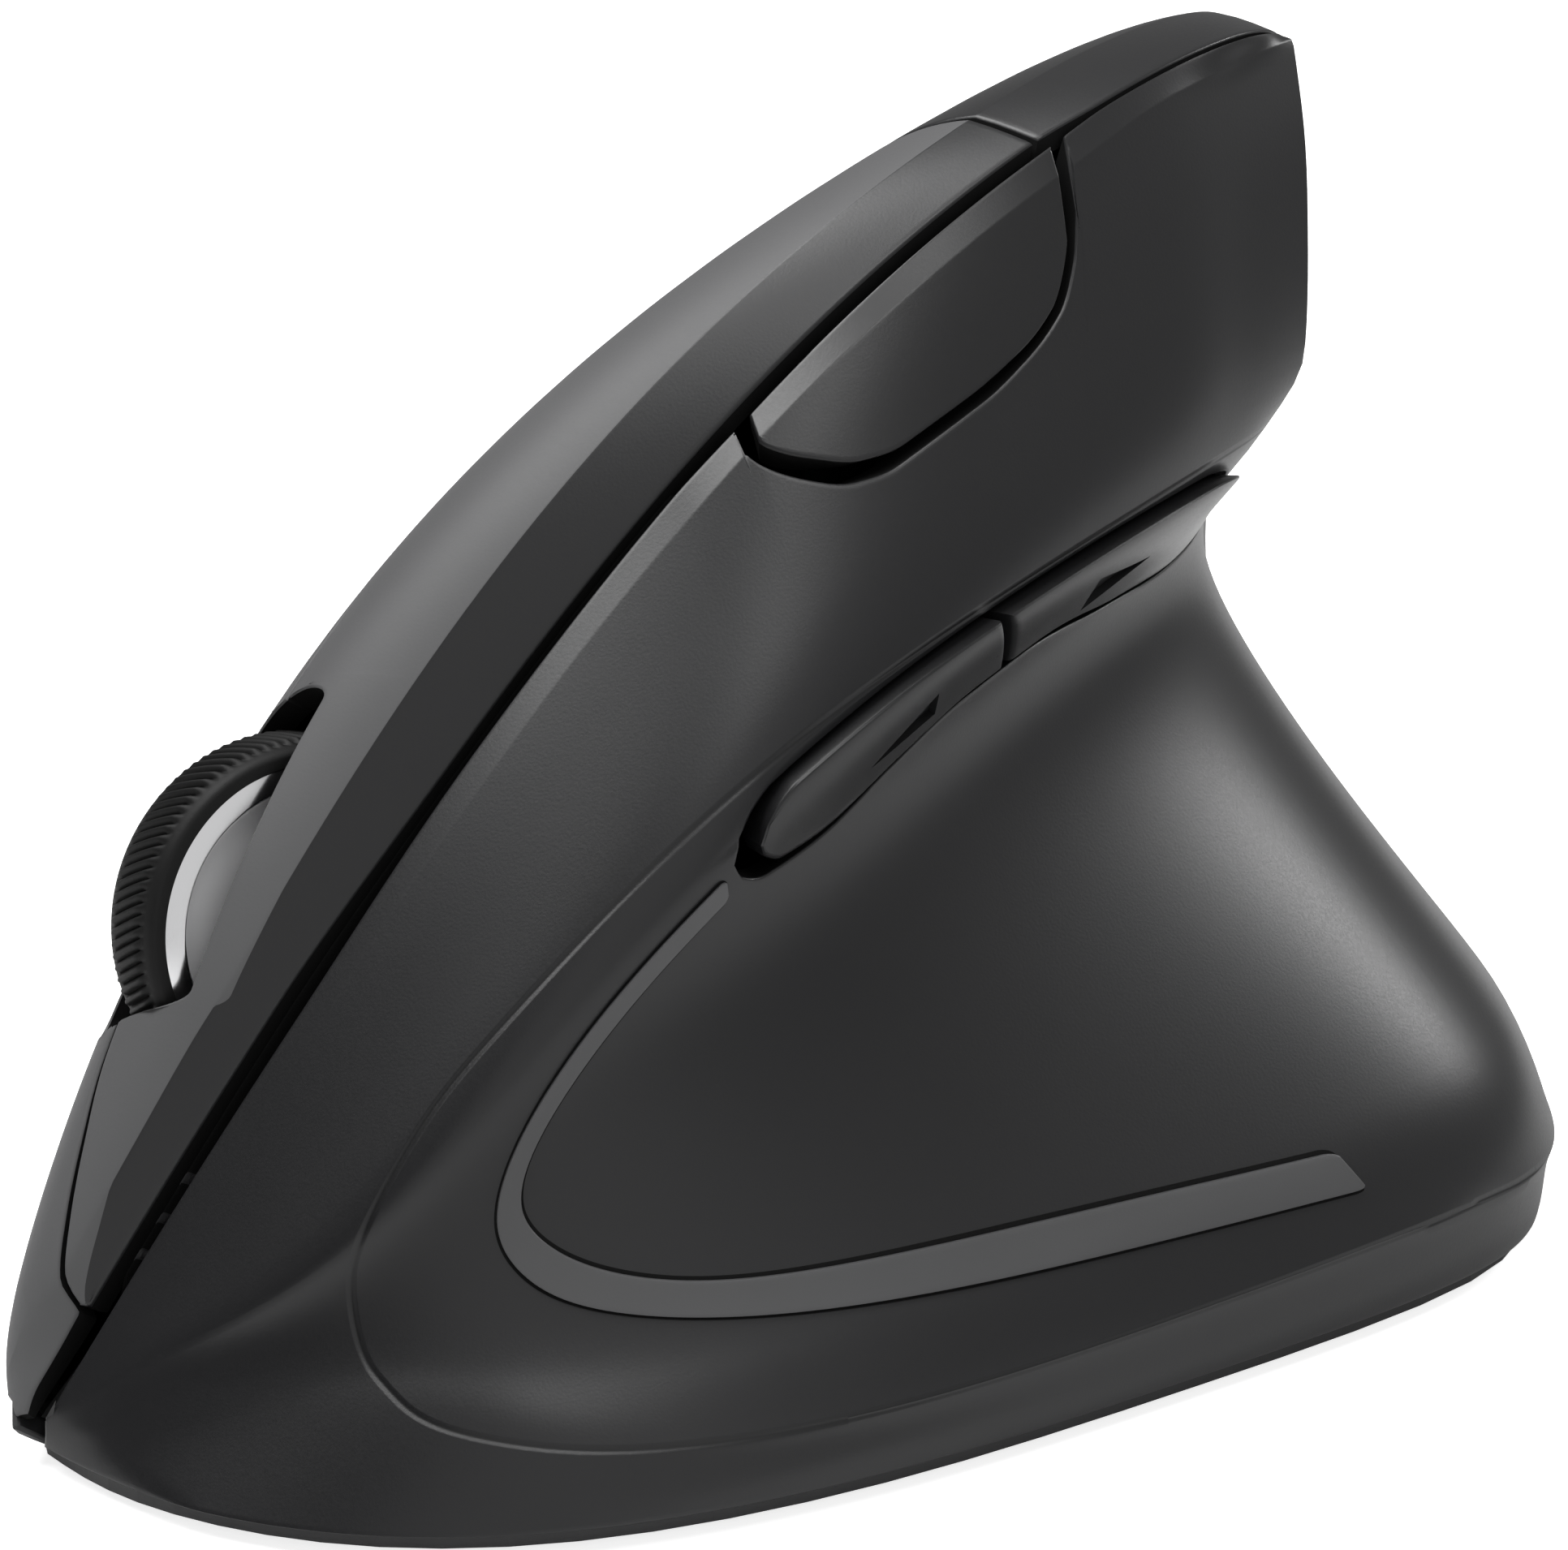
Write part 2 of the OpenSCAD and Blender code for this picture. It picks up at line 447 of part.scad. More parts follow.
// Frame bar under the spine
function bar_row(u) = lookup(u, [[3, 0.8], [6, 0.9], [7.5, 1.7], [8.2, 2.2]]);
function bar_deep(u) = lookup(u, [[3, 5.2], [6.5, 5.2], [8.2, 9]]);
frame_w = 2.4;
frame_span = [3.7, 7.4];
frame_rings = 30;
function bar_at(u) = at(finger_rows, u, bar_row(u), bar_deep(u));
frame_foot = 5;
rear_post = [tray_at.x + 5, tray_at.y - bay_l / 2 + frame_foot / 2, bar_at(frame_span[1]).z - 12];
leg_x = [wheel_pos.x - 8.7, wheel_pos.x + 1.3];
leg_t = 2;
leg_y = [wheel_pos.y - 16.3, wheel_pos.y - 3.3];
base_screw_places = [for (y = [leg_y[0] + 2.5, leg_y[1] - 2.5]) [(leg_x[0] + leg_x[1]) / 2, y]];
screw_fit = 0.05;
screw_l = 6;
head_t = 1.2;

charcoal = "#3a3b3d";
graphite = "#55575a";
black = "#161618";
board_green = "#1f5a3c";

// Tube of square section along a list of points, with the section upright
module square_bar(path, w) {
    n = len(path);
    function side(i) = unit(cross(path[min(i + 1, n - 1)] - path[max(i - 1, 0)], [0, 0, 1]));
    function lift(i) = unit(cross(side(i), path[min(i + 1, n - 1)] - path[max(i - 1, 0)]));
    ring = [for (i = [0:n - 1]) [for (c = [[-1, -1], [1, -1], [1, 1], [-1, 1]])
        path[i] + side(i) * c[0] * w / 2 + lift(i) * c[1] * w / 2]];
    function id(i, j) = 4 * i + j % 4;
    polyhedron(points = [for (r = ring) each r], faces = concat(
        two(0, 1, 2, 3, false),
        [for (i = [0:n - 2], j = [0:3]) let (a = id(i, j), b = id(i, j + 1))
            each two(a, b, b + 4, a + 4, false)],
        two(id(n - 1, 0), id(n - 1, 1), id(n - 1, 2), id(n - 1, 3), true)));
}
// Box between two corners
module span(a, b) { translate(a) cube(b - a); }
// Box round a place, between two heights
module around(p, size, low, high) {
    translate([p.x - size.x / 2, p.y - size.y / 2, low]) cube([size.x, size.y, high - low]);
}
// Round-ended bar lying flat
module pad(length, width, t) {
    linear_extrude(t) {
        square([length - width, width], center = true);
        for (s = [-1, 1]) translate([s * (length - width) / 2, 0]) circle(d = width);
    }
}
// Tactile or click switch body standing on z = 0, with its plunger bore open at the top
module switch_body(size, h) {
    difference() {
        translate([-size.x / 2, -size.y / 2, 0]) cube([size.x, size.y, h]);
        translate([0, 0, h - plunger_in - max(wheel_travel, key_travel) - 0.3])
            cylinder(d = plunger_d + 2 * plunger_fit, h = h);
    }
}
module plunger(h) { translate([0, 0, h - plunger_in]) cylinder(d = plunger_d, h = plunger_in + plunger_h); }
module on_side(p) { translate([side_x, p.y, p.z]) rotate([0, -90, 0]) children(); }
module key_stem(p) { translate(p) rotate([0, 90, 0]) cylinder(d = stem_d, h = stem_end - p.x); }

module thumb_shell() {
    i0 = len(front_stations);
    color(charcoal) panel(thumb_rows, [for (u = shell_stations) shell_column(u)], 0, shell_wall,
        [i0, i0 + len(slot_stations) - 1, panel_cells, panel_cells + slot_cells]);
}
module palm_shell() {
    front = steps(palm_start, plate_end, 12);
    rear = steps(5.15, tail_end, 21);
    color(charcoal) panel(finger_rows, [for (u = concat(front, rear)) palm_column(u)], 0, shell_wall,
        [0, len(front) - 1, 0, crown_cells]);
}
module left_button() {
    color(graphite) {
        panel(finger_rows, [for (u = concat([0.8], plate_u(-1)))
            column(u, spine_edge(finger_rows, u), seam_side(u, -1), 6)], 0, plate_wall);
        wheel_frame() click_post(left_post);
    }
}
module right_button() {
    nose_u = [0.35, 0.5, nose_end - 0.02];
    nose_side = 1.4;
    color(graphite) {
        panel(finger_rows, concat(
            [for (u = nose_u) column(u, nose_side * spine_edge(finger_rows, u), plate_low(u), 10)],
            [for (u = concat([0.78], plate_u(1))) column(u, seam_side(u, 1), plate_low(u), 10)]),
            0, plate_wall);
        wheel_frame() click_post(right_post);
    }
}
module click_post(p) {
    low = click_high + plunger_h + stem_gap;
    translate([p.x, p.y, low]) cylinder(d = post_d, h = p.z - low);
}
module dpi_button() {
    color(graphite) {
        panel(thumb_rows, [for (u = dpi_stations) column(u, spine_edge(thumb_rows, u), dpi_edge(u), 7)],
            0, key_wall);
        key_stem(dpi_stem);
    }
}
module forward_button() {
    stations = concat([3.6, 3.64, 3.7, 3.78], steps(3.9, key_split - key_end_gap, 7));
    color(graphite) {
        panel(thumb_rows, [for (u = stations) key_column(u)], -key_rise, shell_wall);
        key_stem(forward_stem);
    }
}
module back_button() {
    stations = concat(steps(key_split + key_end_gap, 6.2, 12), [6.3, 6.38, 6.44]);
    color(graphite) {
        panel(thumb_rows, [for (u = stations) key_column(u)], -key_rise, shell_wall);
        key_stem(back_stem);
    }
}
module accent_strip() {
    n = len(strip_outer) - 1;
    grid = [for (t = steps(0, n, strip_rings)) let (a = curve(strip_outer, t), b = curve(strip_inner, t))
        [for (s = [0, 0.5, 1]) mix(a, b, s)]];
    color("#6d6f72") panel(thumb_rows, grid, -strip_lift - strip_t, -strip_lift);
}
// Lip of the base that closes the nose under the right click plate
lip_span = [0.07, 0.2, 0.3];
lip_rows = [2.4, 3.4, 4.7];
lip_ball = 0.6;
lip_inset = 0.45;
module nose_lip() {
    hull() {
        for (u = lip_span, v = lip_rows) translate(at(finger_rows, u, v, lip_inset))
            sphere(d = lip_ball, $fn = 8);
        for (u = lip_span) translate([0, 0, -flange_t / 2])
            translate(at(finger_rows, u, last_finger, flange_inset + lip_ball)) sphere(d = lip_ball, $fn = 8);
    }
}
module base_plate() {
    door_cut = door_w + 2 * slide_gap;
    pocket = [for (k = [0, 1]) receiver_head[k] + 2 * pocket_gap];
    pocket_top = receiver_low + receiver_head.z + receiver_plug.z + pocket_gap;
    color("#2b2c2e") difference() {
        union() {
            translate([0, 0, foot_t]) linear_extrude(flange_t) offset(delta = -flange_inset)
                polygon(outline);
            translate([0, 0, base_z]) linear_extrude(floor_t) offset(delta = -shell_wall - floor_gap)
                polygon(outline);
            for (b = pcb_bosses) translate([b.x, b.y, base_z]) cylinder(d = boss_d, h = pcb_low - base_z);
            nose_lip();
            around(receiver_at, pocket + 2 * pocket_wall * [1, 1], base_z, pocket_top + pocket_wall);
        }
        translate([tray_at.x - door_cut / 2, -body_length, 0])
            cube([door_cut, body_length + door_front + slide_gap, base_z]);
        translate([tray_at.x - door_cut / 2 - tongue[0], -body_length, tongue_low - 0.05])
            cube([door_cut + 2 * tongue[0], body_length + door_front + slide_gap, tongue[1] + 0.1]);
        around(tray_at, [bay_w, bay_l], 0, floor_top + 1);
        around(receiver_at, pocket, 0, pocket_top);
        translate([sensor_at.x, sensor_at.y, 0]) cylinder(d = lens_d + 1, h = floor_top + 1);
        around(power_mid, knob + [0, power_throw] + 2 * slide_gap * [1, 1], 0, floor_top + 1);
        for (p = base_screw_places) translate([p.x, p.y, 0]) {
            cylinder(d = screw_d + 2 * screw_fit, h = floor_top + 1);
            cylinder(d = screw_head_d + 2 * screw_fit, h = foot_t + 0.1 + head_t);
        }
        for (b = pcb_bosses) translate([b.x, b.y, floor_top])
            cylinder(d = screw_d + 2 * screw_fit, h = pcb_lift + 1);
    }
}
module spine_frame() {
    color("#1c1c1e") {
        path = [for (u = steps(frame_span[0], frame_span[1], frame_rings)) bar_at(u)];
        square_bar(concat(path, [rear_post]), frame_w);
        around(rear_post, [frame_foot, frame_foot], tray_top, rear_post.z + frame_w / 2);
    }
}
module wheel_tyre() {
    r = wheel_r - tyre_t;
    color("#161616") wheel_frame() rotate([0, 90, 0]) rotate_extrude($fn = 72)
        polygon([[r, -tyre_w / 2], [wheel_r - tread_c, -tyre_w / 2], [wheel_r, -tyre_w / 2 + tread_c],
            [wheel_r, tyre_w / 2 - tread_c], [wheel_r - tread_c, tyre_w / 2], [r, tyre_w / 2]]);
}
module wheel_hub() {
    color("#7b7d80") wheel_frame() rotate([0, 90, 0]) difference() {
        union() {
            translate([0, 0, -hub_w / 2]) cylinder(d = axle_d + 2 * boss_wall, h = hub_w);
            translate([0, 0, -web_t / 2]) cylinder(r = rim_in + 0.2, h = web_t);
            difference() {
                translate([0, 0, -rim_w / 2]) cylinder(r = wheel_r - tyre_t, h = rim_w);
                translate([0, 0, -rim_w]) cylinder(r = rim_in, h = 2 * rim_w);
            }
        }
        translate([0, 0, -hub_w]) cylinder(d = axle_d, h = 2 * hub_w);
        for (a = [0:30:330]) rotate(a) translate([slit_r, 0, -hub_w]) cylinder(d = slit_d, h = 2 * hub_w);
    }
}
module wheel_rings() {
    r = wheel_r - tyre_t;
    color("#c9cbce") wheel_frame() rotate([0, 90, 0]) for (s = [-1, 1]) rotate_extrude($fn = 72)
        polygon([[rim_in, s * rim_w / 2], [r, s * rim_w / 2], [r, s * hub_w / 2],
            [rim_in + tread_c, s * hub_w / 2]]);
}
module wheel_axle() {
    color("silver") wheel_frame() rotate([0, 90, 0]) translate([0, 0, -arm_out])
        cylinder(d = axle_d, h = 2 * arm_out);
}
module wheel_cradle() {
    color("#2f3032") wheel_frame() difference() {
        union() {
            for (s = [-1, 1]) {
                x = s > 0 ? arm_in : -arm_out;
                span([x, -arm_boss, arm_low], [x + arm_t, arm_boss, 0]);
                span([x, 0, arm_low], [x + arm_t, bar_y + bar_w, arm_low + lever_t]);
                translate([x, 0, 0]) rotate([0, 90, 0]) cylinder(r = arm_boss, h = arm_t);
            }
            span([-arm_out, bar_y, arm_low], [arm_out, bar_y + bar_w, arm_low + lever_t]);
        }
        rotate([0, 90, 0]) translate([0, 0, -2 * arm_out])
            cylinder(d = axle_d + 2 * axle_fit, h = 4 * arm_out);
    }
}
module wheel_bracket() {
    inner = arm_out + guide_gap;
    color("#2f3032") wheel_frame() for (s = [-1, 1]) {
        x = s > 0 ? inner : -inner - guide_t;
        span([x, guide_y[0], board_top], [x + guide_t, guide_y[1], guide_high]);
    }
}
module board_cut() {
    span([-cut_half.x, -cut_half.y, deck_low - 1], [cut_half.x, cut_half.y, 0]);
    for (p = screw_places) translate([p.x, p.y, deck_low - 1])
        cylinder(d = screw_d + 2 * screw_fit, h = board_top - deck_low + 2);
}
module switch_deck() {
    pad_d = boss_d - 0.6;
    color("#232426") difference() {
        union() {
            wheel_frame() {
                span([board_x[0], board_y[0], deck_low], [board_x[1], board_y[1], deck_top]);
                for (p = concat(screw_places, pad_places)) translate([p.x, p.y, deck_top])
                    cylinder(d = pad_d, h = deck_pad);
            }
            for (x = leg_x) intersection() {
                span([x - leg_t / 2, leg_y[0], floor_top], [x + leg_t / 2, leg_y[1], body_height]);
                wheel_frame() span(-body_length * [1, 1, 1], [body_length, body_length, deck_low + 0.5]);
            }
            span([leg_x[0] - leg_t / 2, leg_y[0], floor_top],
                [leg_x[1] + leg_t / 2, leg_y[1], floor_top + leg_t]);
        }
        wheel_frame() board_cut();
        for (p = base_screw_places) translate([p.x, p.y, 0])
            cylinder(d = screw_d + 2 * screw_fit, h = floor_top + leg_t + 0.5);
    }
}
module click_pcb() {
    color(board_green) wheel_frame() difference() {
        span([board_x[0], board_y[0], board_low], [board_x[1], board_y[1], board_top]);
        board_cut();
    }
}
module side_bracket() {
    x = side_x + pcb_t;
    tab_top = dpi_stem.z - 1;
    color("#232426") {
        span([x, side_y[0], tray_top], [x + bracket_t, bracket_front, side_z[1]]);
        span([x, side_y[0], side_z[0]], [x + bracket_t, side_y[1] - 7, side_z[1]]);
        span([x, side_y[0], tray_top], [x + bracket_foot, bracket_front, tray_top + bracket_t]);
        span([x, dpi_stem.y - tab_half, side_z[0]], [x + bracket_t, dpi_stem.y + tab_half, tab_top]);
    }
}
module side_pcb() {
    color(board_green) {
        span([side_x, side_y[0], side_z[0]], [side_x + pcb_t, side_y[1], side_z[1]]);
        span([side_x, dpi_stem.y - tab_half, side_z[0]],
            [side_x + pcb_t, dpi_stem.y + tab_half, dpi_stem.z + tact_w / 2 + 0.3]);
    }
}
module main_pcb() {
    color(board_green) difference() {
        span([pcb_x[0], pcb_y[0], pcb_low], [pcb_x[1], pcb_y[1], pcb_top]);
        translate([sensor_at.x, sensor_at.y, pcb_low - 1]) cylinder(d = lens_d - 1, h = pcb_t + 2);
        for (b = pcb_bosses) translate([b.x, b.y, pcb_low - 1])
            cylinder(d = screw_d + 2 * screw_fit, h = pcb_t + 2);
    }
}
module on_board(p) { wheel_frame() translate([p.x, p.y, board_top]) children(); }
module left_switch() { color(black) on_board(left_post) switch_body(click_size, switch_h); }
module right_switch() { color(black) on_board(right_post) switch_body(click_size, switch_h); }
module middle_switch() { color(black) on_board(middle_at) switch_body(tact_size, tact_h); }
module dpi_switch() { color(black) on_side(dpi_stem) switch_body(tact_size, tact_h); }
module forward_switch() { color(black) on_side(forward_stem) switch_body(tact_size, tact_h); }
module back_switch() { color(black) on_side(back_stem) switch_body(tact_size, tact_h); }
module left_plunger() { color("white") on_board(left_post) plunger(switch_h); }
module right_plunger() { color("white") on_board(right_post) plunger(switch_h); }
module middle_plunger() { color("white") on_board(middle_at) plunger(tact_h); }
module dpi_plunger() { color("white") on_side(dpi_stem) plunger(tact_h); }
module forward_plunger() { color("white") on_side(forward_stem) plunger(tact_h); }
module back_plunger() { color("white") on_side(back_stem) plunger(tact_h); }
module encoder_half(s) {
    x = s > 0 ? cut_half.x : -cut_half.x - encoder_t;
    y = -arm_boss - 0.4 - encoder_t;
    wheel_frame() span([x, y, board_top], [x + encoder_t, y + encoder_t, encoder_high]);
}
module encoder_emitter() { color(black) encoder_half(-1); }
module encoder_detector() { color(black) encoder_half(1); }
module optical_sensor() { color(black) around(sensor_at, sensor_size, pcb_top, pcb_top + sensor_h); }
module sensor_lens() {
    color("lightcyan") {
        around(sensor_at, lens_size, floor_top + 0.05, pcb_low);
        translate([sensor_at.x, sensor_at.y, base_z]) cylinder(d = lens_d, h = floor_top + 0.1 - base_z);
    }
}
module sensor_led() { color("red") translate([led_at.x, led_at.y, pcb_top]) cylinder(d = led_d, h = led_h); }
module radio_shield() { color("silver") around(shield_at, shield_size, pcb_top, pcb_top + shield_h); }
module battery_tray() {
    color("#1f2022") translate([tray_at.x, tray_at.y, 0]) difference() {
        span([-bay_w / 2 - tray_wall, -bay_l / 2 - tray_wall, floor_top],
            [bay_w / 2 + tray_wall, bay_l / 2 + tray_wall, tray_top]);
        span([-bay_w / 2, -bay_l / 2, 0], [bay_w / 2, bay_l / 2, tray_roof]);
    }
}
module cell(s) {
    translate([tray_at.x + cell_x[s], tray_at.y, cell_z]) rotate([s > 0 ? -90 : 90, 0, 0]) {
        translate([0, 0, -battery_l / 2]) cylinder(d = battery_d, h = battery_l - nub_h);
        translate([0, 0, battery_l / 2 - nub_h]) cylinder(d = nub_d, h = nub_h);
    }
}
module battery_left() { color("#c08a2a") cell(0); }
module battery_right() { color("#c08a2a") cell(1); }
module contact_place(s, plus) {
    e = (s > 0) == plus ? 1 : -1;
    translate([tray_at.x + cell_x[s], tray_at.y + e * (bay_l / 2), cell_z]) rotate([e * 90, 0, 0]) children();
}
module battery_springs() {
    color("gold") for (s = [0, 1]) contact_place(s, false) {
        cylinder(d = contact_w, h = contact_t);
        cylinder(d1 = contact_w - 1, d2 = contact_w / 2, h = contact_zone - 0.1);
    }
}
module battery_contacts() {
    color("gold") for (s = [0, 1]) contact_place(s, true) {
        around([0, 0], contact_w * [1, 1], 0, contact_t);
        cylinder(d = nub_d + 0.6, h = contact_zone - 0.1);
    }
}
module battery_door() {
    color("#2b2c2e") {
        translate([0, 0, foot_t]) linear_extrude(door_t) intersection() {
            offset(delta = -flange_inset) polygon(outline);
            translate([tray_at.x - door_w / 2, -body_length]) square([door_w, body_length + door_front]);
        }
        span([tray_at.x - door_w / 2 - tongue[0] + slide_gap, tray_at.y - bay_l / 2, tongue_low],
            [tray_at.x + door_w / 2 + tongue[0] - slide_gap, door_front, tongue_low + tongue[1]]);
    }
}
module usb_receiver() {
    color("#202124") translate([receiver_at.x, receiver_at.y, receiver_low]) {
        around([0, 0], receiver_head, 0, receiver_head.z);
        around([0, 0], receiver_plug, receiver_head.z - 0.5, receiver_head.z + receiver_plug.z);
    }
}
module power_switch() {
    color(black) around(power_mid, power_body, knob_high + 0.1, pcb_low);
}
module power_knob() {
    color("white") around(power_at, knob, foot_t + 0.1, knob_high);
}
module screw(l, head) {
    cylinder(d = screw_d, h = l);
    cylinder(d = screw_head_d, h = head);
}
module base_screws() {
    color("silver") for (p = base_screw_places) translate([p.x, p.y, foot_t + 0.1]) screw(screw_l, head_t);
}
module deck_screws() {
    color("silver") wheel_frame() for (p = screw_places) translate([p.x, p.y, board_top + head_t])
        rotate([180, 0, 0]) screw(screw_l - 0.6, head_t);
}
module pcb_screws() {
    color("silver") for (b = pcb_bosses) translate([b.x, b.y, pcb_top + head_t])
        rotate([180, 0, 0]) screw(screw_l - 1, head_t);
}
module foot(p, a, length, width) {
    color("#d8d8d6") translate([p.x * body_width / guide_w, p.y * body_length / guide_l, 0])
        rotate(a) pad(length, width, foot_t);
}
module front_foot() { foot([4, 47], -12, 16, 5); }
module rear_foot() { foot([28.4, -38], 77, 14, 4); }
module left_foot() { foot([-25.5, -12], 83, 20, 5); }
module right_foot() { foot([28, 16], 98, 18, 4.5); }

thumb_shell();
palm_shell();
left_button();
right_button();
base_plate();
spine_frame();
accent_strip();
dpi_button();
forward_button();
back_button();
wheel_tyre();
wheel_hub();
wheel_rings();
wheel_axle();
wheel_cradle();
wheel_bracket();
switch_deck();
click_pcb();
side_bracket();
side_pcb();
main_pcb();
left_switch();
right_switch();
middle_switch();
dpi_switch();
forward_switch();
back_switch();
left_plunger();
right_plunger();
middle_plunger();
dpi_plunger();
forward_plunger();
back_plunger();
encoder_emitter();
encoder_detector();
optical_sensor();
sensor_lens();
sensor_led();
radio_shield();
battery_tray();
battery_left();
battery_right();
battery_springs();
battery_contacts();
battery_door();
usb_receiver();
power_switch();
power_knob();
base_screws();
deck_screws();
pcb_screws();
front_foot();
rear_foot();
left_foot();
right_foot();
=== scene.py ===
"""Moulded pieces, finishes and stage of a vertical ergonomic mouse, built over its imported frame."""

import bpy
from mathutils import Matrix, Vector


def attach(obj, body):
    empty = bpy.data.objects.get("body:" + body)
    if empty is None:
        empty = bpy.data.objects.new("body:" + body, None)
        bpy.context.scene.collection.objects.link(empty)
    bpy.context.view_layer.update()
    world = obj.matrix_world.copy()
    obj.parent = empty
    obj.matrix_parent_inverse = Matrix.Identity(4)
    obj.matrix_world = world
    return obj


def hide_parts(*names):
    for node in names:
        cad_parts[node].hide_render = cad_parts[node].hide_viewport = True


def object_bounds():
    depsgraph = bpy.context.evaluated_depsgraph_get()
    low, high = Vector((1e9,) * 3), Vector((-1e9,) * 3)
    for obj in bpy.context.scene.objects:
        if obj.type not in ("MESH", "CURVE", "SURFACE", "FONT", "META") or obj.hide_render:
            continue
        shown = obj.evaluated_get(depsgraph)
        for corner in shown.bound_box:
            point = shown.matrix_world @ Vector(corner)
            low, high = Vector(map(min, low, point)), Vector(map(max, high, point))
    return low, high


bl_info = {
    "name": "Vertical Mouse Pieces",
    "version": (1, 0, 0),
    "blender": (4, 5, 0),
    "location": "3D View > Sidebar > Mouse",
    "description": "Builds the moulded pieces, the finishes and the stage of a vertical mouse",
    "category": "Add Mesh",
}

import math

import bmesh
import bpy
from bpy.props import FloatProperty, FloatVectorProperty, IntProperty, PointerProperty
from mathutils import Matrix, Vector
from mathutils.kdtree import KDTree

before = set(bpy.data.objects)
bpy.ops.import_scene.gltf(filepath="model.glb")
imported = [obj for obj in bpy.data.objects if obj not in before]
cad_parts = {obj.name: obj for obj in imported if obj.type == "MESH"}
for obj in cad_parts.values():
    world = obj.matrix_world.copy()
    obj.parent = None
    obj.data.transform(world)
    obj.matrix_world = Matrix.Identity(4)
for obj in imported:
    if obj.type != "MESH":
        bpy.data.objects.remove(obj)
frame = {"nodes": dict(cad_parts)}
CAD_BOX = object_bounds()

# Guide rows of the two skins in millimetres, as in the part's source. Each runs from the nose to the heel.
SPINE = ((15.3, 57.2, 3), (13.5, 52, 11), (9.6, 41.5, 26.5), (5, 27, 44.5), (0.5, 8, 62),
         (-3.2, -14, 73.5), (-5.2, -33.5, 77), (2, -43, 70), (11, -48.5, 49), (16, -53.5, 26),
         (17, -57.3, 3))
UPPER_PANEL = ((15.4, 57.1, 2.9), (12.4, 53, 10), (6.5, 43, 23.5), (-0.5, 29, 40.5), (-5, 10.5, 55),
               (-7.5, -11, 63.5), (-8.2, -31.5, 67), (-0.5, -40, 65), (12, -46.5, 46), (15, -53, 24.5),
               (17, -57.4, 2.9))
LOWER_PANEL = ((15.5, 57, 2.8), (11.6, 53.6, 9.1), (2.5, 45, 19.5), (-5.2, 30.5, 37),
               (-9.5, 13, 48.5), (-10.5, -8, 54.5), (-10.5, -29, 58), (-2.5, -38, 58), (12.5, -44.5, 43),
               (14, -52.5, 23), (17, -57.5, 2.8))
CREASE = ((15.6, 56.9, 2.7), (10.9, 54.2, 8.2), (-2.1, 48, 14.9), (-8.3, 32, 33.5), (-12, 15, 42.5),
          (-12, -5.5, 47.5), (-11, -28, 51), (-2.5, -36.5, 50.5), (12, -43, 40), (13, -52, 21.5),
          (17, -57.6, 2.7))
UNDER_CREASE = ((15.7, 56.8, 2.6), (10.4, 54.8, 7.4), (-2, 47.2, 14), (-7.8, 33.5, 28.5),
                (-10.8, 16.5, 37), (-9, -4, 42), (-6, -23.5, 44.5), (1, -31.5, 44), (10.5, -42.5, 36),
                (12, -51.5, 19.5), (17, -57.7, 2.6))
WAIST = ((15.8, 56.7, 2.5), (9.9, 55.3, 6.5), (-2.6, 46.6, 13), (-8, 35.5, 22), (-11, 18.5, 30),
         (-9.5, -2, 36), (-6.5, -22.5, 38.5), (-1, -31, 38), (7.5, -42.5, 31), (10.5, -51.5, 17),
         (17, -57.8, 2.5))
UPPER_SLOPE = ((15.9, 56.6, 2.4), (9.4, 55.8, 5.6), (-3.6, 46.4, 11.8), (-9.5, 38.5, 14.5),
               (-15, 21.5, 19.5), (-16.5, 0.5, 25), (-16, -23, 28), (-9, -32.5, 28), (0, -43, 23),
               (7.5, -52.5, 13.5), (17, -57.9, 2.4))
LOWER_SLOPE = ((16, 56.5, 2.2), (8.9, 56.4, 4.5), (-4.6, 46.8, 10.6), (-12.5, 41, 8.5),
               (-21, 24, 10), (-25.5, 2, 13), (-28.5, -24, 17.5), (-18, -34, 19), (-10, -43.5, 15),
               (4, -54, 9), (17, -57.9, 2.2))
LIP = ((16.2, 56.3, 1.9), (8.4, 57.1, 3), (-5.5, 47.5, 9.5), (-15.5, 43, 6), (-25, 25.5, 6),
       (-30, 3, 6.8), (-36.5, -25, 9), (-28.5, -35, 9.5), (-16, -45.5, 8.5), (1.5, -55, 5),
       (17, -58, 1.9))
THUMB_BASE = ((16.5, 56, 1.6), (8, 57.8, 1.6), (-5, 54.5, 1.6), (-16.5, 44.5, 1.6), (-24.5, 26, 1.6),
              (-28.8, 3, 1.6), (-33.5, -24, 1.6), (-27, -34, 1.6), (-15.5, -45, 1.6), (1.5, -55, 1.6),
              (17, -58, 1.6))
FINGER_TOP = ((16.2, 57.6, 2.8), (17.5, 54.6, 11), (16.5, 46, 27.5), (14.5, 33, 47), (10.5, 13, 63),
              (7, -12, 72.5), (6, -33, 76), (10, -44, 69), (15, -51.5, 49), (18, -55.5, 26),
              (17.6, -57.8, 3))
FINGER_SIDE = ((17, 57.5, 2.4), (20.5, 54.2, 9), (22, 46.5, 24), (22.5, 32.5, 40), (21.5, 12, 54),
               (20.5, -12, 60), (20, -34, 61), (20.5, -47.5, 55), (21.5, -54.5, 40), (20.5, -57.5, 21),
               (18, -58, 2.6))
PALM_SIDE = ((17.3, 57, 2.2), (22.3, 52.6, 6), (26.8, 42.5, 14), (29.4, 27, 24), (30.4, 8, 33),
             (30.4, -13, 38.5), (29.6, -35, 38), (27.8, -49.3, 33), (25.4, -56.2, 24), (21.8, -57.8, 13),
             (18, -58.2, 2.3))
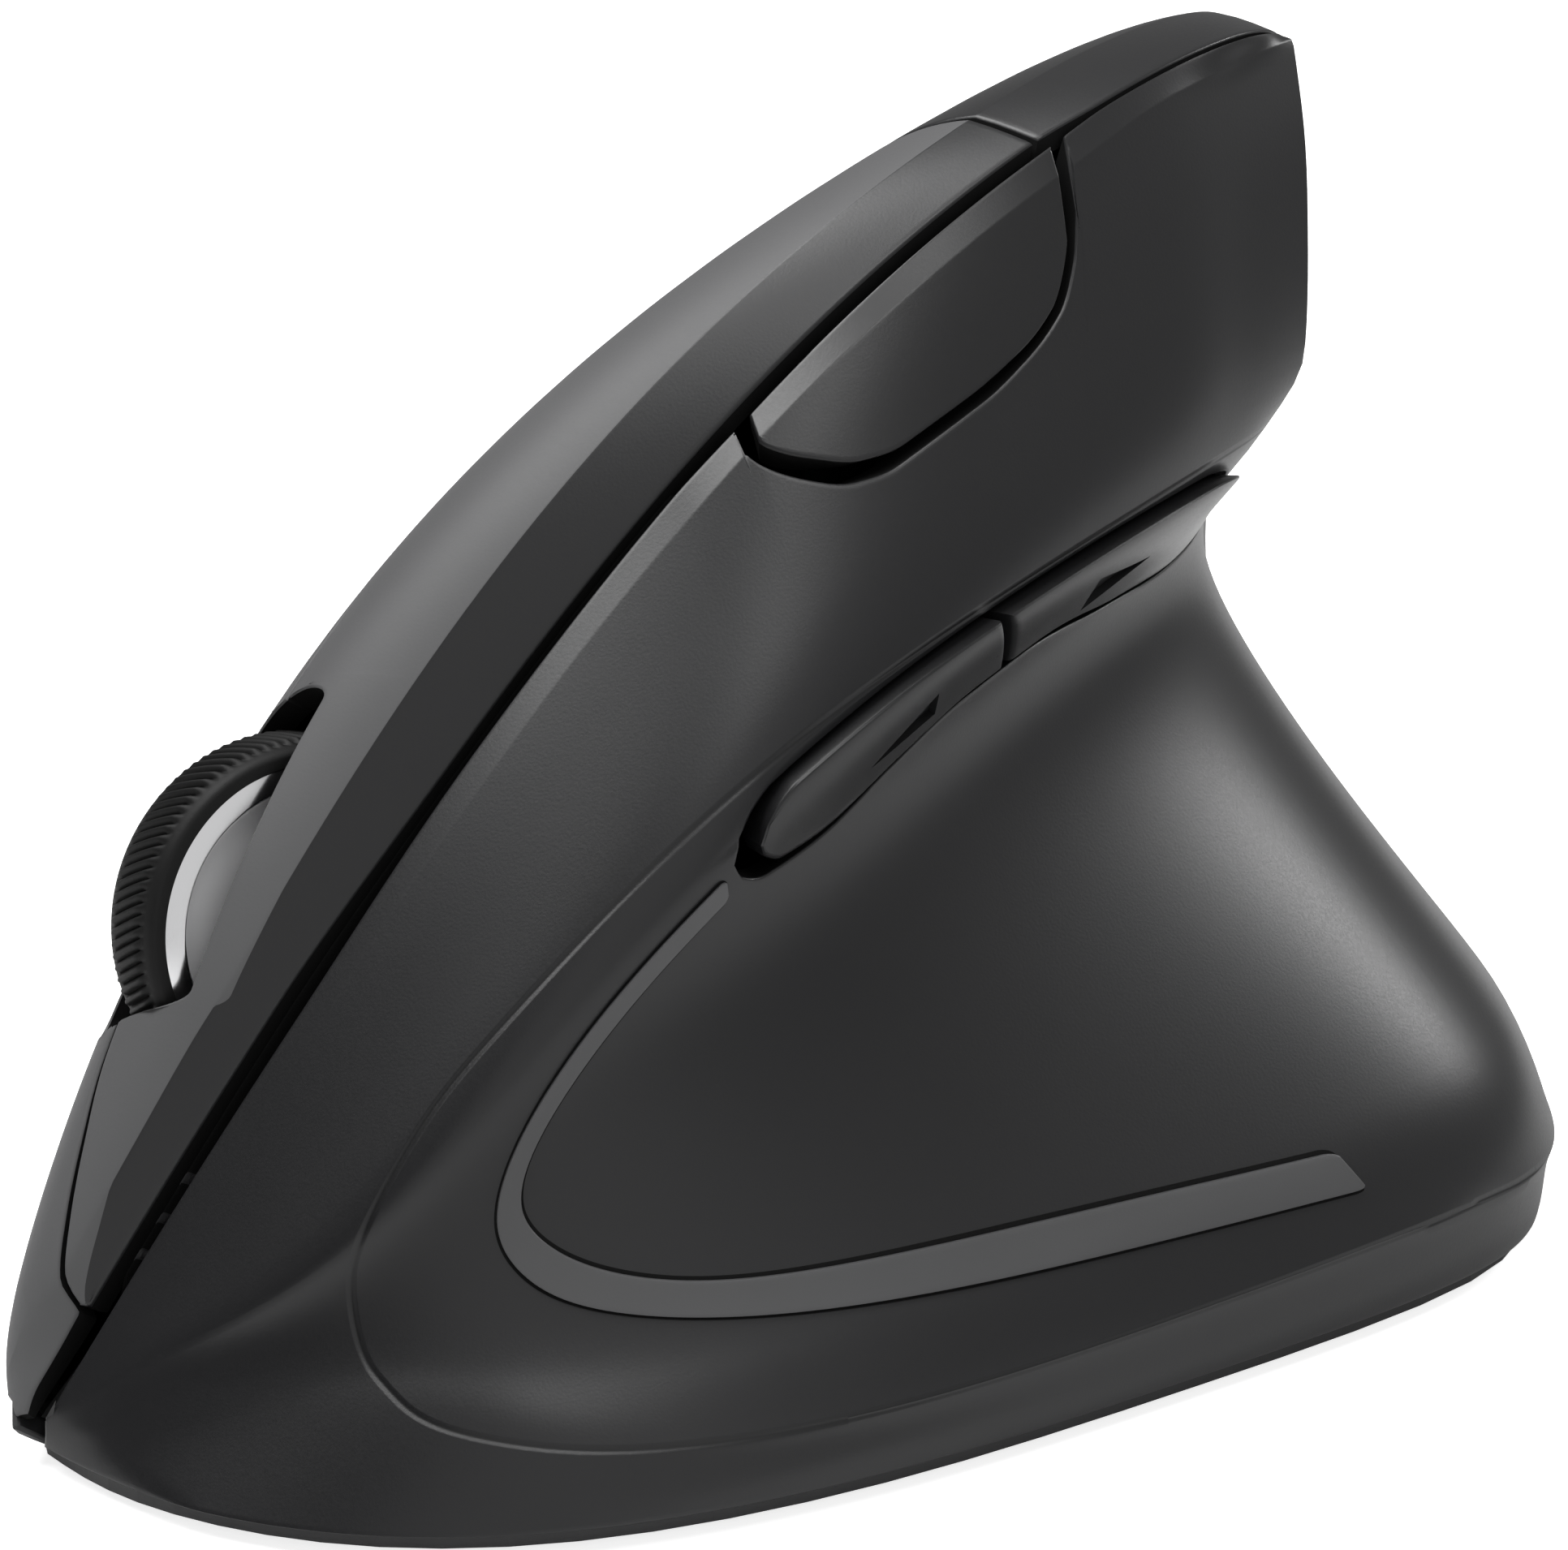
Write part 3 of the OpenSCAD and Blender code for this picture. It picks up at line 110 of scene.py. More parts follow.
PALM_LOW = ((17.3, 56.7, 1.9), (22.4, 52, 3), (27.8, 41, 6), (31.9, 25, 10), (33.6, 6, 14),
            (33.6, -14, 16.5), (32.8, -36, 16.5), (30, -49.6, 14.5), (26.2, -56.8, 11), (21.8, -58.4, 6.5),
            (18, -58.3, 1.9))
FINGER_BASE = ((16.5, 56, 1.6), (22.1, 52, 1.6), (27.4, 40.8, 1.6), (31.2, 24.5, 1.6), (32.8, 5, 1.6),
               (32.8, -15, 1.6), (32, -36, 1.6), (29, -49.4, 1.6), (24.8, -56.2, 1.6), (19.8, -57.8, 1.6),
               (17, -58, 1.6))
GUIDE_SIZE = Vector((65.8, 115.2, 75.4))
GUIDE_MIDDLE = (0.15, -0.35)
BODY_SIZE = Vector((0.066, 0.115, 0.075))
BASE_MM = 1.6
MM = 0.001

# Lines on the skins: station along the body, row down the side
THUMB_CREST = ((0.6, 1.5), (1.2, 1.15), (1.85, 0.78), (2.4, 0.54), (3.3, 0.37), (3.8, 0.34), (4.95, 0.3),
               (5.43, 0.23), (6.15, 0.22), (7.5, 0.26), (9, 0.4))
FINGER_CREST = ((0.35, 2.5), (0.5, 1.7), (0.7, 0.95), (0.88, 0.69), (1.18, 0.58), (1.52, 0.5), (1.83, 0.46),
                (2.08, 0.42), (2.33, 0.42), (3.5, 0.44), (5, 0.49), (5.4, 0.53), (6.2, 0.53), (7.5, 0.5),
                (9, 0.5))
SEAM_PATH = ((0.7, 0.12), (0.76, 0.32), (0.9, 0.66), (1.2, 0.95), (1.5, 1.18), (1.8, 1.4), (1.95, 1.44),
             (2.9, 1.45), (3.2, 1.52), (3.5, 1.6), (5, 1.6))
PLATE_FOOT = ((0.28, 2.1), (0.36, 3.4), (0.7, 3.5), (1.5, 3.1), (2.5, 2.75), (5, 2.6))
PLATE_DROP = ((0.7, 1), (2.5, 0.6), (4.9, 0))
SLOT_TOP = ((3.55, 3.3), (3.6, 3.05), (3.68, 2.94), (4.3, 2.88), (5, 2.93), (5.65, 3.06), (5.9, 3.22),
            (6.2, 3.52), (6.5, 3.82))
SLOT_FOOT = ((3.55, 3.5), (3.62, 3.8), (3.75, 4.02), (4, 4.1), (4.3, 3.95), (4.6, 3.82), (4.9, 3.82),
             (5.4, 4.05), (5.9, 4.2), (6.35, 4.15), (6.5, 3.95))
SENSE_EDGE = ((3.82, 0.15), (3.88, 0.43), (4, 0.75), (4.15, 1.03), (4.3, 1.15), (4.55, 1.17), (4.75, 1.12),
              (4.88, 1), (4.95, 0.75), (4.98, 0.45))
STRIP_OUTER = ((3.53, 3.6), (3, 3.83), (2.7, 4.4), (2.58, 5.3), (2.75, 6.05), (3.05, 6.52), (3.7, 6.95),
               (4.65, 7.32), (5.5, 7.7))
STRIP_INNER = ((3.57, 3.9), (3.14, 4.12), (2.8, 4.6), (2.69, 5.3), (2.92, 5.98), (3.3, 6.43), (3.75, 6.7),
               (4.65, 7), (5.45, 7.38))
LIP_LINE = ((1.6, 7.6), (2.08, 7.8), (2.5, 8.08), (3.7, 8.1), (5.4, 8.15), (6.3, 8.3), (9.5, 8.3))
SILL_LINE = ((0.1, 3.15), (0.6, 2.95), (2, 2.7), (2.5, 2.56), (3.35, 2.62), (3.8, 2.68), (4.48, 2.76),
             (5.15, 2.85), (5.7, 2.9), (6.3, 3.06), (6.6, 3.15))
CREASE_LOOP = ((6.55, 3.12), (6.28, 3.03), (5.68, 2.88), (5.15, 2.85), (4.48, 2.78), (3.8, 2.68),
               (3.35, 2.65), (2.82, 2.6), (2.5, 2.56), (2.33, 2.62), (2.15, 2.9), (2.02, 3.4), (1.95, 4.9),
               (1.95, 6.7), (2.08, 7.72), (2.28, 8), (2.53, 8.08), (3.05, 8.1), (4.25, 8.12), (5.38, 8.15),
               (5.8, 8.2), (6.32, 8.3), (6.8, 8.35))
BACK_ARROW = ((5.47, 3.6), (5.15, 3.74), (5.12, 3.34))
FORWARD_ARROW = ((4.14, 3.68), (4.38, 3.32), (4.42, 3.62))
PLATE_END = 4.95
TAIL_END = 9.95
KEY_SPLIT = 4.74
KEY_END = 6.42
SLOT_SPAN = (3.56, 6.5)
SENSE_SPAN = (3.86, 4.96)
NOTCH_SPAN = (3.81, 5.01)
SILL_SPAN = (3.4, 6.6)
LIP_SPAN = (2.4, 9.4)
REAR_EDGE = 6.2
TUCK = Vector((0.0011, 0.0011, 0))
SUPPORT = 0.0004
CREST_ROUND = 0.00012
CREST_ROW = 5
THUMB_LIFT = 0.3
THUMB_DROP = 0.75
BAND_TILT = ((3.6, 0.35), (3.85, 1))

# Wheel frame: x along the axle, y down to the nose, z out of the plates
WHEEL_TURN = (-53, 9, -15)
WHEEL_STATION = 2.42
WHEEL_RADIUS = 0.0113
WHEEL_RISE = 0.0036
TYRE_HALF = 0.0028
SLOT_SIDE = (0.0038, 0.00445)


def ease(t):
    """Smooth step from 0 to 1."""
    c = min(max(t, 0.0), 1.0)
    return c * c * (3 - 2 * c)


def sized(row):
    """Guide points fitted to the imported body, in metres."""
    base = BASE_MM * MM
    return [Vector(((p[0] - GUIDE_MIDDLE[0]) * BODY_SIZE.x / GUIDE_SIZE.x,
                    (p[1] - GUIDE_MIDDLE[1]) * BODY_SIZE.y / GUIDE_SIZE.y,
                    base + (p[2] - BASE_MM) * (BODY_SIZE.z - base) / (GUIDE_SIZE.z - BASE_MM)))
            for p in row]


def spline(points, t):
    """Smooth curve along a list of points, which starts and ends at its end points."""
    last = len(points) - 1
    i = min(max(int(t), 0), last - 1)
    f = t - i
    f2 = f * f
    f3 = f2 * f
    before = points[i - 1] if i > 0 else 2 * points[0] - points[1]
    after = points[i + 2] if i + 2 <= last else 2 * points[last] - points[last - 1]
    return (before * ((1 - f) ** 3 / 6) + points[i] * ((3 * f3 - 6 * f2 + 4) / 6)
            + points[i + 1] * ((3 * (f2 + f - f3) + 1) / 6) + after * (f3 / 6))


def along(table, u):
    """Value of a line on the skin at a station, smooth and without overshoot."""
    if u <= table[0][0]:
        return table[0][1]
    if u >= table[-1][0]:
        return table[-1][1]
    k = next(i for i in range(len(table) - 1) if u <= table[i + 1][0])
    slopes = [(b[1] - a[1]) / (b[0] - a[0]) for a, b in zip(table, table[1:])]

    def lean(i):
        if i == 0 or i == len(table) - 1:
            return slopes[min(i, len(slopes) - 1)]
        a, b = slopes[i - 1], slopes[i]
        return 0.0 if a * b <= 0 else 2 * a * b / (a + b)

    (x0, y0), (x1, y1) = table[k], table[k + 1]
    w = x1 - x0
    t = (u - x0) / w
    t2 = t * t
    t3 = t2 * t
    return (y0 * (2 * t3 - 3 * t2 + 1) + lean(k) * w * (t3 - 2 * t2 + t)
            + y1 * (3 * t2 - 2 * t3) + lean(k + 1) * w * (t3 - t2))


def held(p):
    """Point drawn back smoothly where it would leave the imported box."""
    reach = Vector((0.0003, 0.001))
    low, high = CAD_BOX
    for k in (0, 1):
        inner = low[k] + reach[k]
        outer = high[k] - reach[k]
        if p[k] < inner:
            p[k] = low[k] + reach[k] * math.exp((p[k] - inner) / reach[k])
        elif p[k] > outer:
            p[k] = high[k] - reach[k] * math.exp((outer - p[k]) / reach[k])
    return p


def thumb_draw(v, y):
    """Direction into the mould on the thumb side."""
    w = ease(v / 1.6)
    return Vector((0.98 * w + 0.1, y, -(0.9 - 0.8 * w) * (1 - ease((v - 7) / 2)))).normalized()


def finger_draw(v, y):
    """Direction into the mould on the finger side."""
    w = ease(v / 3)
    return Vector((-0.9 * w - 0.05, y, -(0.8 - 0.45 * w) * (1 - ease((v - 3.5) / 1.5)))).normalized()


class Skin:
    """One moulded side of the body, from the spine down to the base."""

    core = 0.045
    heel_start = 0.4
    heel_fade = 0.09
    crest_fade = 0.012
    tuck_start, tuck_end = 7.6, 9.7
    band_rise, band_end, band_fade = 0.9, 7, 2

    def __init__(self, rows, draw, crest, crest_start, tuck_rows):
        self.rows = [sized(row) for row in rows]
        self.tuck_rows = tuck_rows
        self.base = len(rows) - 1
        self.draw = draw
        self.crest_line = crest
        self.crest_start = crest_start
        self.columns = {}

    def point(self, u, v):
        """Plain point of the skin."""
        column = self.columns.get(u)
        if column is None:
            column = [spline(row, u) for row in self.rows]
            self.columns[u] = column
        tuck = ease((u - self.tuck_start) / 0.8) * ease((self.tuck_end - u) / 0.7)
        tuck *= 1 - ease(v / self.tuck_rows)
        return spline(column, v) + TUCK * tuck

    def step(self, u, v):
        """Length of one row step."""
        return (self.point(u, v + 0.1) - self.point(u, v)).length / 0.1

    def inward(self, v, p):
        """Direction into the mould, straight forward at the heel."""
        heel = ease((-p.y / BODY_SIZE.y - self.heel_start) / self.heel_fade)
        return self.draw(v, -p.y / self.core).lerp(Vector((0, 1, 0)), heel).normalized()

    def crest(self, u):
        """Row of the crease that ends the flat band along the spine."""
        return along(self.crest_line, u)

    def lift(self, u, v, height, drop):
        """How far the band stands out at its crease, and in beside the spine."""
        top = self.crest(u)
        share = ease((u - self.crest_start) / self.band_rise)
        share *= 1 - ease((u - self.band_end) / self.band_fade)
        if v < top:
            return share * (height * v / top - drop * (1 - v / top))
        return share * height * (1 - ease((v - top) * self.step(u, 0) / self.crest_fade))

    def at(self, u, v, depth=0.0):
        """Point at a depth into the mould."""
        p = self.point(u, v)
        return held(p + self.inward(v, p) * depth)


THUMB = Skin((SPINE, UPPER_PANEL, LOWER_PANEL, CREASE, UNDER_CREASE, WAIST, UPPER_SLOPE, LOWER_SLOPE, LIP,
              THUMB_BASE), thumb_draw, THUMB_CREST, 1.3, 4)
FINGER = Skin((SPINE, FINGER_TOP, FINGER_SIDE, PALM_SIDE, PALM_LOW, FINGER_BASE), finger_draw, FINGER_CREST,
              0.1, 2.2)


def rear_edged(u, v):
    """Thumb skin with a firm rear edge in place of its round one."""
    p = THUMB.point(u, v)
    reach, out = 0.85, 0.0011
    away = abs(u - REAR_EDGE)
    if away >= reach:
        return p
    share = 1 - away / reach
    apex = THUMB.point(REAR_EDGE, v)
    apex = apex - THUMB.inward(v, apex) * out
    end = THUMB.point(REAR_EDGE + math.copysign(reach, u - REAR_EDGE), v)
    firm = ease(1.5 * share) * (1 - ease((v - 2.4) / 0.7)) * ease(v / 0.3)
    return p.lerp(end.lerp(apex, share), firm)


def thumb_relief(u, v, sizes):
    """Depth of the bands, the sill over the key slot and the lip, from the plain thumb skin."""
    tilt = along(BAND_TILT, u)
    depth = -tilt * THUMB.lift(u, v, THUMB_LIFT * sizes.crest_lift, THUMB_DROP * sizes.edge_drop)
    sill, top = along(SILL_LINE, u), along(SLOT_TOP, u)
    if sill < v <= top:
        share = ease((u - SILL_SPAN[0]) / 0.4) * ease((SILL_SPAN[1] - u) / 0.2)
        depth += sizes.sill_depth * share * (v - sill) / (top - sill)
    lip = along(LIP_LINE, u)
    away = abs(v - lip) / (0.9 if v < lip else 0.7)
    if away < 1:
        share = ease((u - LIP_SPAN[0]) / 2.4) * ease((LIP_SPAN[1] - u) / 1.5)
        depth += sizes.lip_depth * share * 6.75 * away * (1 - away) ** 2
    return depth


def thumb_face(u, v, sizes, rise=0.0):
    """Outer face of the thumb side."""
    p = rear_edged(u, v)
    return held(p + THUMB.inward(v, p) * (thumb_relief(u, v, sizes) - rise))


def finger_face(u, v, sizes):
    """Outer face of the finger side."""
    return FINGER.at(u, v, -FINGER.lift(u, v, sizes.crest_lift, sizes.edge_drop))


def turned(p):
    """Direction given in the wheel frame, in the body's frame."""
    x, y, z = (math.radians(a) for a in WHEEL_TURN)
    return Matrix.Rotation(z, 3, "Z") @ Matrix.Rotation(y, 3, "Y") @ Matrix.Rotation(x, 3, "X") @ Vector(p)


WHEEL_AXES = [turned(axis) for axis in ((1, 0, 0), (0, 1, 0), (0, 0, 1))]
WHEEL_PLACE = (FINGER.point(WHEEL_STATION, along(SEAM_PATH, WHEEL_STATION))
               - WHEEL_AXES[2] * (WHEEL_RADIUS - WHEEL_RISE))
WHEEL_MATRIX = Matrix.Translation(WHEEL_PLACE) @ Matrix(WHEEL_AXES).transposed().to_4x4()


def measure(name, description, default):
    """Property for a length in metres."""
    return FloatProperty(name=name, description=description, default=default, subtype="DISTANCE",
                         unit="LENGTH")


def paint(name, description, *rgb):
    """Property for the colour of a finish."""
    return FloatVectorProperty(name=name, description=description, default=(*rgb, 1), subtype="COLOR", size=4)


class MouseSizes(bpy.types.PropertyGroup):
    """Sizes of the visible mouldings."""

    spine_gap: measure("Spine gap", "Open joint along the spine, front part", 0.002)
    rear_gap: measure("Rear gap", "Closed joint along the spine, rear part", 0.0007)
    seam_gap: measure("Seam gap", "Joint between the click plates", 0.00035)
    crest_lift: measure("Crest lift", "Height of the crease beside the spine", 0.0007)
    edge_drop: measure("Edge drop", "How far the bands go in beside the spine", 0.0008)
    sill_depth: measure("Sill depth", "Depth of the sill over the thumb keys", 0.0003)
    lip_depth: measure("Lip depth", "Hollow on both sides of the lip edge", 0.00035)
    shell_wall: measure("Shell wall", "Wall of the shells", 0.0022)
    plate_wall: measure("Plate wall", "Wall of the click plates", 0.00176)
    key_wall: measure("Key wall", "Wall of the sensitivity key", 0.00132)
    key_rise: measure("Key rise", "How far the thumb keys stand out at their top edge", 0.0012)
    edge_round: measure("Edge rounding", "Rounding of the moulded edges", 0.00016)
    arrow_depth: measure("Arrow depth", "Depth of the arrows in the thumb keys", 0.0005)
    rib_count: IntProperty(name="Tyre ribs", description="Number of ribs round the tyre", default=96)
    rib_depth: measure("Rib depth", "Depth of the tyre ribs", 0.0004)


class MouseColours(bpy.types.PropertyGroup):
    """Colours of the finishes."""

    shell: paint("Shell", "Moulded shells", 0.011, 0.011, 0.0118)
    plates: paint("Plates", "Click plates", 0.088, 0.088, 0.09)
    keys: paint("Keys", "Thumb keys and sensitivity key", 0.01, 0.01, 0.0106)
    strip: paint("Strip", "Satin inlay", 0.078, 0.078, 0.08)
    tyre: paint("Tyre", "Rubber tyre", 0.008, 0.008, 0.008)
    ring: paint("Ring", "Silver rings", 0.82, 0.82, 0.83)
    hub: paint("Hub", "Disc of the wheel", 0.75, 0.75, 0.76)
    base: paint("Base", "Base plate and door", 0.014, 0.014, 0.015)
    # The frame colour is also the painted shade of the joint walls and of the web under the spine joint.
    frame: paint("Frame", "Inner frame", 0.006, 0.006, 0.006)


def settings(context):
    """Sizes and colours set in the scene."""
    return context.scene.mouse_sizes, context.scene.mouse_colours


def feed(tree, node, inputs):
    """Sets each input of a node to a value, or links it to the socket that feeds it."""
    for key, value in inputs.items():
        if isinstance(value, bpy.types.NodeSocket):
            tree.links.new(value, node.inputs[key])
        else:
            node.inputs[key].default_value = value


def add(tree, kind, inputs, **options):
    """New shader node with its options and its inputs."""
    node = tree.nodes.new("ShaderNode" + kind)
    for name, value in options.items():
        setattr(node, name, value)
    feed(tree, node, inputs)
    return node


def shared_group(name, inputs, outputs, wire):
    """Node group for several finishes, built once by a function that returns what feeds its outputs."""
    group = bpy.data.node_groups.get(name)
    if group:
        return group
    group = bpy.data.node_groups.new(name, "ShaderNodeTree")
    for way, sockets in (("INPUT", inputs), ("OUTPUT", outputs)):
        for socket in sockets:
            kind = "NodeSocketColor" if socket == "Colour" else "NodeSocketFloat"
            group.interface.new_socket(socket, in_out=way, socket_type=kind)
    made = wire(group, group.nodes.new("NodeGroupInput").outputs)
    feed(group, group.nodes.new("NodeGroupOutput"), dict(zip(outputs, made)))
    return group


def shaded(tree, colour, factor):
    """Colour times a factor."""
    return add(tree, "VectorMath", {0: colour, "Scale": factor}, operation="SCALE").outputs["Vector"]


def wire_grain(tree, given):
    """Fine moulded grain with a slow change of tone."""
    place = add(tree, "TexCoord", {}).outputs["Object"]
    fine = add(tree, "TexNoise", {"Vector": place, "Scale": given["Grain"], "Detail": 3}).outputs["Fac"]
    broad = add(tree, "TexNoise", {"Vector": place, "Scale": 55, "Detail": 2}).outputs["Fac"]
    tone = add(tree, "MapRange", {"Value": broad, "From Min": 0.3, "From Max": 0.7, "To Min": 1,
                                  "To Max": given["Tone"]}).outputs["Result"]
    off = add(tree, "Math", {0: fine, 1: 0.5}, operation="SUBTRACT").outputs["Value"]
    rough = add(tree, "Math", {0: off, 1: given["Spread"], 2: given["Roughness"]}, operation="MULTIPLY_ADD")
    return shaded(tree, given["Colour"], tone), rough.outputs["Value"], fine


def wire_crease_shade(tree, given):
    """Painted shade and relief height of a soft line where the stored distance from the crease is small."""
    line_half = 0.00035
    stored = add(tree, "Attribute", {}, attribute_name="groove_and_shade").outputs["Fac"]
    width = add(tree, "Math", {0: stored}, operation="ABSOLUTE").outputs["Value"]
    height = add(tree, "MapRange", {"Value": width, "From Max": line_half},
                 interpolation_type="SMOOTHSTEP").outputs["Result"]
    # Painted shade: the colour falls to 0.6 of itself along the middle of the crease line.
    shade = add(tree, "MapRange", {"Value": height, "To Min": 0.6}).outputs["Result"]
    return shaded(tree, given["Colour"], shade), height


def moulded(name, colour, roughness, grain=5500, bump=0.12, spread=0.12, tone=1.12, specular=0.5,
            metallic=0.0, transmission=0.0, groove_and_shade=False):
    """Material with the shared grain in its tone, gloss and relief, and a soft crease line of painted shade
    if asked for.
    """
    known = bpy.data.materials.get(name)
    if known:
        return known
    material = bpy.data.materials.new(name)
    material.use_nodes = True
    tree = material.node_tree
    grain_tree = shared_group("moulded_grain", ("Colour", "Grain", "Roughness", "Spread", "Tone"),
                              ("Colour", "Roughness", "Height"), wire_grain)
    grained = add(tree, "Group", {"Colour": tuple(colour), "Grain": grain, "Roughness": roughness,
                                  "Spread": spread, "Tone": tone}, node_tree=grain_tree).outputs
    look = grained["Colour"]
    relief = {"Strength": bump, "Distance": 0.00005, "Height": grained["Height"]}
    if groove_and_shade:
        crease_shade_tree = shared_group("crease_line_shade", ("Colour",), ("Colour", "Height"), wire_crease_shade)
        crease = add(tree, "Group", {"Colour": look}, node_tree=crease_shade_tree).outputs
        line = add(tree, "Bump", {"Strength": 0.7, "Distance": 0.00012, "Height": crease["Height"]})
        look = crease["Colour"]
        relief["Normal"] = line.outputs["Normal"]
    normal = add(tree, "Bump", relief).outputs["Normal"]
    feed(tree, tree.nodes["Principled BSDF"], {
        "Base Color": look, "Roughness": grained["Roughness"], "Normal": normal, "Metallic": metallic,
        "Specular IOR Level": specular, "Transmission Weight": transmission})
    return material


def inside(colours):
    """Dull black with little gloss: painted shade on the walls inside the joints and on the web under the
    spine joint.
    """
    return moulded("joint_black_painted_shade", colours.frame, 0.7, specular=0.05)


def finished(name, bm, finishes, body, nodes, slot, sharp=38):
    """Turns a bmesh into a piece that rides a body and stands for its nodes."""
    if len(finishes) == 1:
        for f in bm.faces:
            f.material_index = 0
    mesh = bpy.data.meshes.new(name)
    bm.to_mesh(mesh)
    bm.free()
    mesh.shade_smooth()
    mesh.set_sharp_from_angle(angle=math.radians(sharp))
    for finish in finishes:
        mesh.materials.append(finish)
    piece = bpy.data.objects.new(name, mesh)
    bpy.context.scene.collection.objects.link(piece)
    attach(piece, body)
    if nodes:
        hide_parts(*nodes)


def spread(a, b, n, power=1.0):
    """Values from a to b, closer together at a for a power over 1."""
    return [a + (b - a) * (k / n) ** power for k in range(n + 1)]


def joined(*runs):
    """Runs of values one after another, without repeats."""
    values = []
    for run in runs:
        values += [x for x in run if not values or x > values[-1] + 1e-6]
    return values


def moulding(lattice, face, back, rounding, openings=(), field=None):
    """Closed panel over a lattice of stations and rows, with rounded outer edges and a marked inside."""
    n_u, n_v = len(lattice), len(lattice[0])
    bm = bmesh.new()
    bmesh.ops.create_grid(bm, x_segments=n_u - 1, y_segments=n_v - 1, size=0.5)
    station = bm.verts.layers.int.new("station")
    row = bm.verts.layers.int.new("row")
    for vert in bm.verts:
        vert[station] = round((vert.co.x + 0.5) * (n_u - 1))
        vert[row] = round((vert.co.y + 0.5) * (n_v - 1))

    def is_open(f):
        middle = f.calc_center_median()
        i, j = (middle.x + 0.5) * (n_u - 1), (middle.y + 0.5) * (n_v - 1)
        return any(a < i < b and c < j < d for a, b, c, d in openings)

    gone = [f for f in bm.faces if is_open(f)]
    if gone:
        bmesh.ops.delete(bm, geom=gone, context="FACES")
    for vert in bm.verts:
        vert.co = face(*lattice[vert[station]][vert[row]])
    if field:
        # Distance from the crease, which drives the crease's bump and its painted shade.
        groove_and_shade = bm.verts.layers.float.new("groove_and_shade")
        for vert in bm.verts:
            vert[groove_and_shade] = field(vert.co)
    rim = [e for e in bm.edges if e.is_boundary]
    outside = set(bm.faces)
    made = bmesh.ops.extrude_face_region(bm, geom=bm.faces[:])
    for vert in (g for g in made["geom"] if isinstance(g, bmesh.types.BMVert)):
        vert.co = back(*lattice[vert[station]][vert[row]])
    # The walls and the back take the second finish, which is painted shade where it is the dull black of the
    # joints.
    for f in bm.faces:
        f.material_index = 0 if f in outside else 1
    bmesh.ops.recalc_face_normals(bm, faces=bm.faces[:])
    rounded = bmesh.ops.bevel(bm, geom=rim, offset=rounding, offset_type="OFFSET", segments=3, profile=0.5,
                              affect="EDGES", clamp_overlap=False, material=-1)
    for f in rounded["faces"]:
        f.material_index = 0
    for vert in bm.verts:
        vert.co.z = max(vert.co.z, BASE_MM * MM)
    bm.normal_update()
    return bm


def spine_edge(skin, u, sizes):
    """Row of the edge beside the spine joint."""
    half, rear = sizes.spine_gap / 2, sizes.rear_gap / 2
    table = ((0, half), (2, half), (2.8, half * 2 / 3), (4.9, half * 2 / 3), (5.2, rear), (9.4, rear),
             (10, rear / 2))
    return min(along(table, u) / skin.step(u, 0), skin.base - 0.6)


def sense_gap(u):
    """Joint round the sensitivity key, widest at its lower front."""
    return along(((3.8, 0.0005), (4.05, 0.0009), (4.6, 0.00095), (4.85, 0.0006), (5, 0.00045)), u)


def notch_edge(u):
    """Row of the edge of the notch for the sensitivity key."""
    if not NOTCH_SPAN[0] < u < NOTCH_SPAN[1]:
        return 0.0
    reach = 0.03
    widest = max(along(SENSE_EDGE, u + k * reach) for k in (-1, -0.5, 0, 0.5, 1))
    return widest + sense_gap(u) / THUMB.step(u, 1)


def band_rows(skin, u, edge, foot, least=0.0016):
    """Rows across the flat band, close together at its edge and its crease."""
    step = skin.step(u, edge)
    crest = min(max(skin.crest(u), edge + least / step), edge + 0.45 * (foot - edge))
    near = min(SUPPORT / step, 0.3 * (crest - edge))
    fine = min(CREST_ROUND / step, 0.1 * (crest - edge))
    return [edge, *spread(edge + near, crest - fine, 3), crest, crest + fine]


def down_to(skin, u, start, foot, n, power=1.0):
    """Rows from a start row down to an edge, with a close row beside the edge."""
    near = min(SUPPORT / skin.step(u, foot), 0.2 * (foot - start))
    return spread(start, foot - near, n, power)[1:] + [foot]


def crease_field():
    """Signed distance from the soft crease that frames the scoop, for a point of the thumb side."""
    loop = [Vector((u, v, 0)) for u, v in CREASE_LOOP]
    fine = 12
    marks = [spline(loop, k / fine) for k in range((len(loop) - 1) * fine + 1)]
    line = [THUMB.point(m.x, m.y) for m in marks]
    tree = KDTree(len(line))
    for k, p in enumerate(line):
        tree.insert(p, k)
    tree.balance()

    def field(p):
        k = tree.find(p)[1]
        a, b = line[max(k - 1, 0)], line[min(k + 1, len(line) - 1)]
        along_line = (b - a).normalized()
        gap = p - a - along_line * (p - a).dot(along_line)
        out = along_line.cross(THUMB.inward(marks[k].y, line[k]))
        return math.copysign(gap.length, gap.dot(out))

    return field


